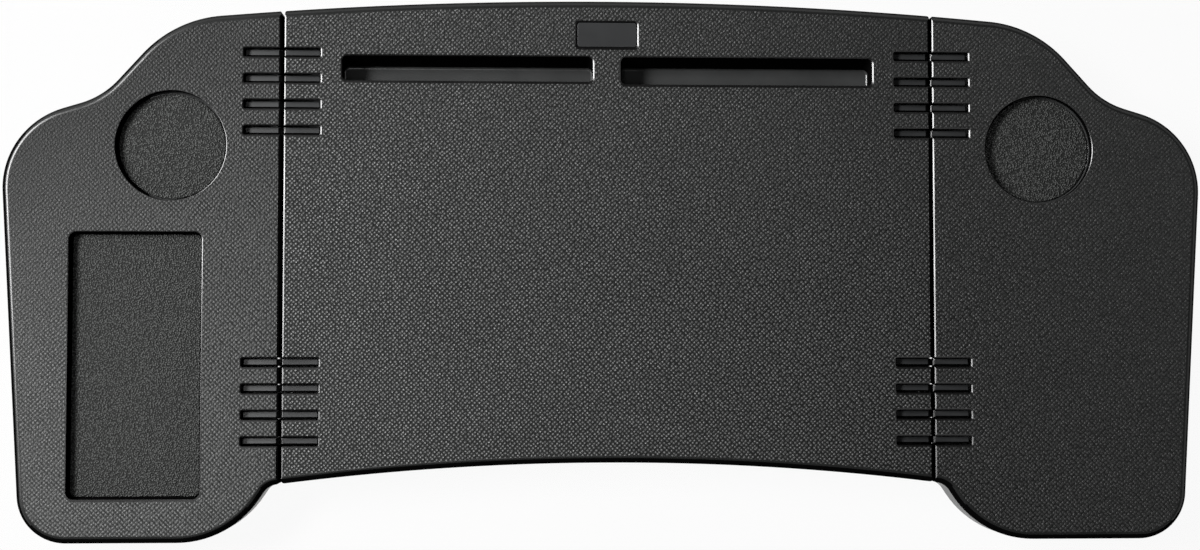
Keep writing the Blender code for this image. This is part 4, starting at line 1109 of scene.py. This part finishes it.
class DESK_OT_badge(bpy.types.Operator):
    """Make the bare badge plate"""
    bl_idname = "desk.badge"
    bl_label = "Badge plate"

    def execute(self, context):
        badge = plain_material("Badge Satin", context.scene.desk_colours.badge,
                               grain=0.0008, depth=0.000008, roughness=0.42)
        x_low, x_high, y_low, y_high = badge_box()
        outline = rectangle((x_low + PLATE_LEFT_GAP, x_high, y_low, y_high), BADGE_CORNER, PLATE_GAP)
        plate = new_piece("badge_made", prism(outline, PLATE_LOW, PLATE_HIGH), [badge])
        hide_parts("badge_plate")
        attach(plate, "centre")
        smooth_between_edges(plate)
        soften_edges(plate, PLATE_ROUND)
        return {"FINISHED"}


class DESK_OT_hinges(bpy.types.Operator):
    """Shape the hinge leaves, and finish them with their pins and sleeves"""
    bl_idname = "desk.hinges"
    bl_label = "Hinges"

    def execute(self, context):
        colours = context.scene.desk_colours
        satin = {"grain": 0.0008, "depth": 0.00001, "roughness": 0.34}
        leaf = plain_material("Leaf Satin", colours.hinge, **satin)
        lit_left_leaf = plain_material("Left Leaf Satin", colours.left_hinge_lit, **satin)
        steel = plain_material("Turned Steel", colours.steel, grain=0.0006, depth=0.00001,
                               roughness=0.30, metallic=1.0)
        brass = plain_material("Sleeve Brass", colours.brass, grain=0.0006, depth=0.00001,
                               roughness=0.32, metallic=1.0)
        edge, wall = edge_finishes(colours)
        for name in named("_leaf"):
            # The left wing's outer leaves take the lighter copy of the plastic: painted light
            face = lit_left_leaf if "_left_" in name and "_outer_" in name else leaf
            build_leaf(name, (face, face, edge, wall), context.scene.desk_sizes)
        for name in named("_pin"):
            dress_node(name, steel)
        for name in named("_sleeve"):
            dress_node(name, brass)
        return {"FINISHED"}


class DESK_OT_screws(bpy.types.Operator):
    """Finish the screws"""
    bl_idname = "desk.screws"
    bl_label = "Screws"

    def execute(self, context):
        steel = plain_material("Zinc Screw", context.scene.desk_colours.steel, grain=0.0005,
                               depth=0.00001, roughness=0.36, metallic=1.0)
        for name in named("_screw"):
            dress_node(name, steel)
        return {"FINISHED"}


class DESK_OT_rubber(bpy.types.Operator):
    """Finish the feet and the wheel and hook pads"""
    bl_idname = "desk.rubber"
    bl_label = "Feet and pads"

    def execute(self, context):
        rubber = plain_material("Foot Rubber", context.scene.desk_colours.rubber, grain=0.0007,
                                depth=0.00008, roughness=0.74, specular=0.35)
        for name in named("_foot") + named("_pad"):
            dress_node(name, rubber)
        return {"FINISHED"}


class DESK_OT_hooks(bpy.types.Operator):
    """Finish the two rim hooks"""
    bl_idname = "desk.hooks"
    bl_label = "Rim hooks"

    def execute(self, context):
        satin = plain_material("Hook Satin", context.scene.desk_colours.hinge, grain=0.0008,
                               depth=0.00002, roughness=0.40)
        for name in ("left_hook", "right_hook"):
            dress_node(name, satin)
        return {"FINISHED"}


# The middle that all lamps aim at, and where the weaker two hang
MIDDLE = Vector((0.0, 0.0, TOP_Z))
TOP_LAMP_PLACE = -0.26, -0.16, TOP_Z + 1.6
UNDER_LAMP_PLACE = 0.3, -0.9, -1.5
UNDER_LAMP_WIDTH = 1.4

# The camera looks straight down but for small turns about X, Y and Z
CAMERA_PLACE = -0.05294, -0.05583, TOP_Z + 1.09264
CAMERA_TURNS = -0.0477, 0.0431, -0.0016
SENSOR_WIDTH, FOCAL_LENGTH, FARTHEST_SEEN = 36.0, 53.1, 60.0

# The floor's level reach, the bend up into its wall and the wall's height
FLOOR_REACH, FLOOR_BEND, FLOOR_WALL = 4.0, 2.0, 4.0
BEND_STEPS, ROUND_STEPS = 12, 64
# Share of the rays that pass through the floor, or meet white in its place
SHEER_SHARE = 0.94


class DESK_OT_stage(bpy.types.Operator):
    """Set the pale floor, the soft lamps, the room's fill and the camera"""
    bl_idname = "desk.stage"
    bl_label = "Stage"

    def execute(self, context):
        scene, stage = context.scene, context.scene.desk_stage
        self.lay_floor(stage)
        self.hang_lamps(stage)
        self.light_room(scene, stage)
        self.set_camera(scene)
        scene.view_settings.view_transform = "Standard"
        return {"FINISHED"}

    def hang_lamps(self, stage):
        """Rectangular soft lamps aimed at the middle of the desk."""
        level = stage.lamp_distance * math.cos(stage.lamp_rise)
        key_place = (-level * math.cos(stage.lamp_bearing), level * math.sin(stage.lamp_bearing),
                     TOP_Z + stage.lamp_distance * math.sin(stage.lamp_rise))
        for name, place, power, width, height in (
                ("Key Lamp", key_place, stage.lamp_power, stage.lamp_width, stage.lamp_height),
                ("Top Lamp", TOP_LAMP_PLACE, stage.sheen_power, stage.sheen_width, stage.sheen_width),
                ("Under Lamp", UNDER_LAMP_PLACE, stage.under_power, UNDER_LAMP_WIDTH, UNDER_LAMP_WIDTH)):
            light = bpy.data.lights.new(name, "AREA")
            light.shape = "RECTANGLE"
            light.size, light.size_y = width, height
            light.energy = power
            lamp = add_object(name, light)
            lamp.location = place
            lamp.rotation_euler = (MIDDLE - lamp.location).to_track_quat("-Z", "Y").to_euler()

    def light_room(self, scene, stage):
        """A room that lights the desk by its fill and looks white to the camera."""
        world = bpy.data.worlds.new("Room")
        scene.world = world
        world.use_nodes = True
        room = world.node_tree.nodes["Background"]
        room.inputs["Color"].default_value = (1.0, 1.0, 1.0, 1.0)
        path = put(world.node_tree, "ShaderNodeLightPath", (-6, 0))
        seen = value_of(world.node_tree, "MAXIMUM", (-3, 0), path.outputs["Is Camera Ray"], stage.fill)
        world.node_tree.links.new(seen, room.inputs["Strength"])

    def set_camera(self, scene):
        lens = bpy.data.cameras.new("Camera")
        lens.sensor_width = SENSOR_WIDTH
        lens.lens = FOCAL_LENGTH
        lens.clip_end = FARTHEST_SEEN
        camera = add_object("Camera", lens)
        about_x, about_y, about_z = [Matrix.Rotation(turn, 3, axis)
                                     for turn, axis in zip(CAMERA_TURNS, "XYZ")]
        tilt = (about_z @ about_y @ about_x).transposed()
        camera.matrix_world = Matrix.Translation(CAMERA_PLACE) @ tilt.to_4x4()
        scene.camera = camera

    def lay_floor(self, stage):
        """A round floor whose edge curves up into a pale wall."""
        turns = [math.radians(90 * i / BEND_STEPS) for i in range(1, BEND_STEPS + 1)]
        profile = [(0.0, 0.0), (FLOOR_REACH, 0.0)]
        profile += [(FLOOR_REACH + FLOOR_BEND * math.sin(turn), FLOOR_BEND - FLOOR_BEND * math.cos(turn))
                    for turn in turns]
        profile.append((FLOOR_REACH + FLOOR_BEND, FLOOR_WALL))
        bm = bmesh.new()
        verts = [bm.verts.new((r, 0.0, z)) for r, z in profile]
        edges = [bm.edges.new(pair) for pair in zip(verts, verts[1:])]
        bmesh.ops.spin(bm, geom=verts + edges, cent=(0, 0, 0), axis=(0, 0, 1),
                       angle=math.radians(360), steps=ROUND_STEPS, use_merge=True)
        bmesh.ops.remove_doubles(bm, verts=bm.verts, dist=TOUCH)
        bmesh.ops.recalc_face_normals(bm, faces=bm.faces)
        floor = new_piece("Floor", bm, [self.floor_material(tuple(stage.floor))])
        floor.data.shade_smooth()
        floor.visible_shadow = False

    def floor_material(self, colour):
        """Pale matt floor that the camera sees through, so that folded wings show below it."""
        material, tree, shader = new_material("Pale Floor")
        link = tree.links.new
        where = put(tree, "ShaderNodeTexCoord", (-4, 0))
        speck = use_group(tree, "Sand Grain", (-2, 0), Vector=where.outputs["Object"], Size=0.004)
        link(tinted(tree, (0, 0), colour, 0.97, speck.outputs["Tone"]), shader.inputs["Base Color"])
        shader.inputs["Roughness"].default_value = 0.8
        shader.inputs["Specular IOR Level"].default_value = 0.2
        path = put(tree, "ShaderNodeLightPath", (2, 5))
        mirrored = value_of(tree, "MAXIMUM", (4, 5), path.outputs["Is Glossy Ray"],
                            path.outputs["Is Transmission Ray"])
        white = put(tree, "ShaderNodeEmission", (5, 3), Color=(1.0, 1.0, 1.0, 1.0), Strength=1.0)
        sheer = put(tree, "ShaderNodeBsdfTransparent", (5, 1))
        surface = shader.outputs[0]
        for rays, seen in ((mirrored, white), (path.outputs["Is Camera Ray"], sheer)):
            mix = put(tree, "ShaderNodeMixShader", (7, 1))
            link(value_of(tree, "MULTIPLY", (6, 5), rays, SHEER_SHARE), mix.inputs[0])
            link(surface, mix.inputs[1])
            link(seen.outputs[0], mix.inputs[2])
            surface = mix.outputs[0]
        link(surface, tree.nodes["Material Output"].inputs["Surface"])
        return material


class DESK_PT_panel(bpy.types.Panel):
    """Lists the desk's sizes, colours and pieces"""
    bl_idname = "DESK_PT_panel"
    bl_label = "Steering Wheel Desk"
    bl_space_type = "VIEW_3D"
    bl_region_type = "UI"
    bl_category = "Desk"

    def draw(self, context):
        for group in (context.scene.desk_sizes, context.scene.desk_colours, context.scene.desk_stage):
            column = self.layout.column(align=True)
            for key in group.bl_rna.properties.keys():
                if key not in ("rna_type", "name"):
                    column.prop(group, key)
        column = self.layout.column(align=True)
        for piece in PIECES:
            column.operator(piece.bl_idname)


GROUPS = (("desk_sizes", DeskSizes), ("desk_colours", DeskColours), ("desk_stage", DeskStage))
PIECES = (DESK_OT_shells, DESK_OT_covers, DESK_OT_mats, DESK_OT_badge, DESK_OT_hinges,
          DESK_OT_screws, DESK_OT_rubber, DESK_OT_hooks, DESK_OT_stage)


def register():
    for name, group in GROUPS:
        bpy.utils.register_class(group)
        setattr(bpy.types.Scene, name, bpy.props.PointerProperty(type=group))
    for cls in PIECES + (DESK_PT_panel,):
        bpy.utils.register_class(cls)


def unregister():
    for cls in reversed(PIECES + (DESK_PT_panel,)):
        bpy.utils.unregister_class(cls)
    for name, group in reversed(GROUPS):
        delattr(bpy.types.Scene, name)
        bpy.utils.unregister_class(group)


def main():
    register()
    bpy.ops.desk.shells()
    bpy.ops.desk.covers()
    bpy.ops.desk.mats()
    bpy.ops.desk.badge()
    bpy.ops.desk.hinges()
    bpy.ops.desk.screws()
    bpy.ops.desk.rubber()
    bpy.ops.desk.hooks()
    bpy.ops.desk.stage()


if __name__ == "__main__":
    main()
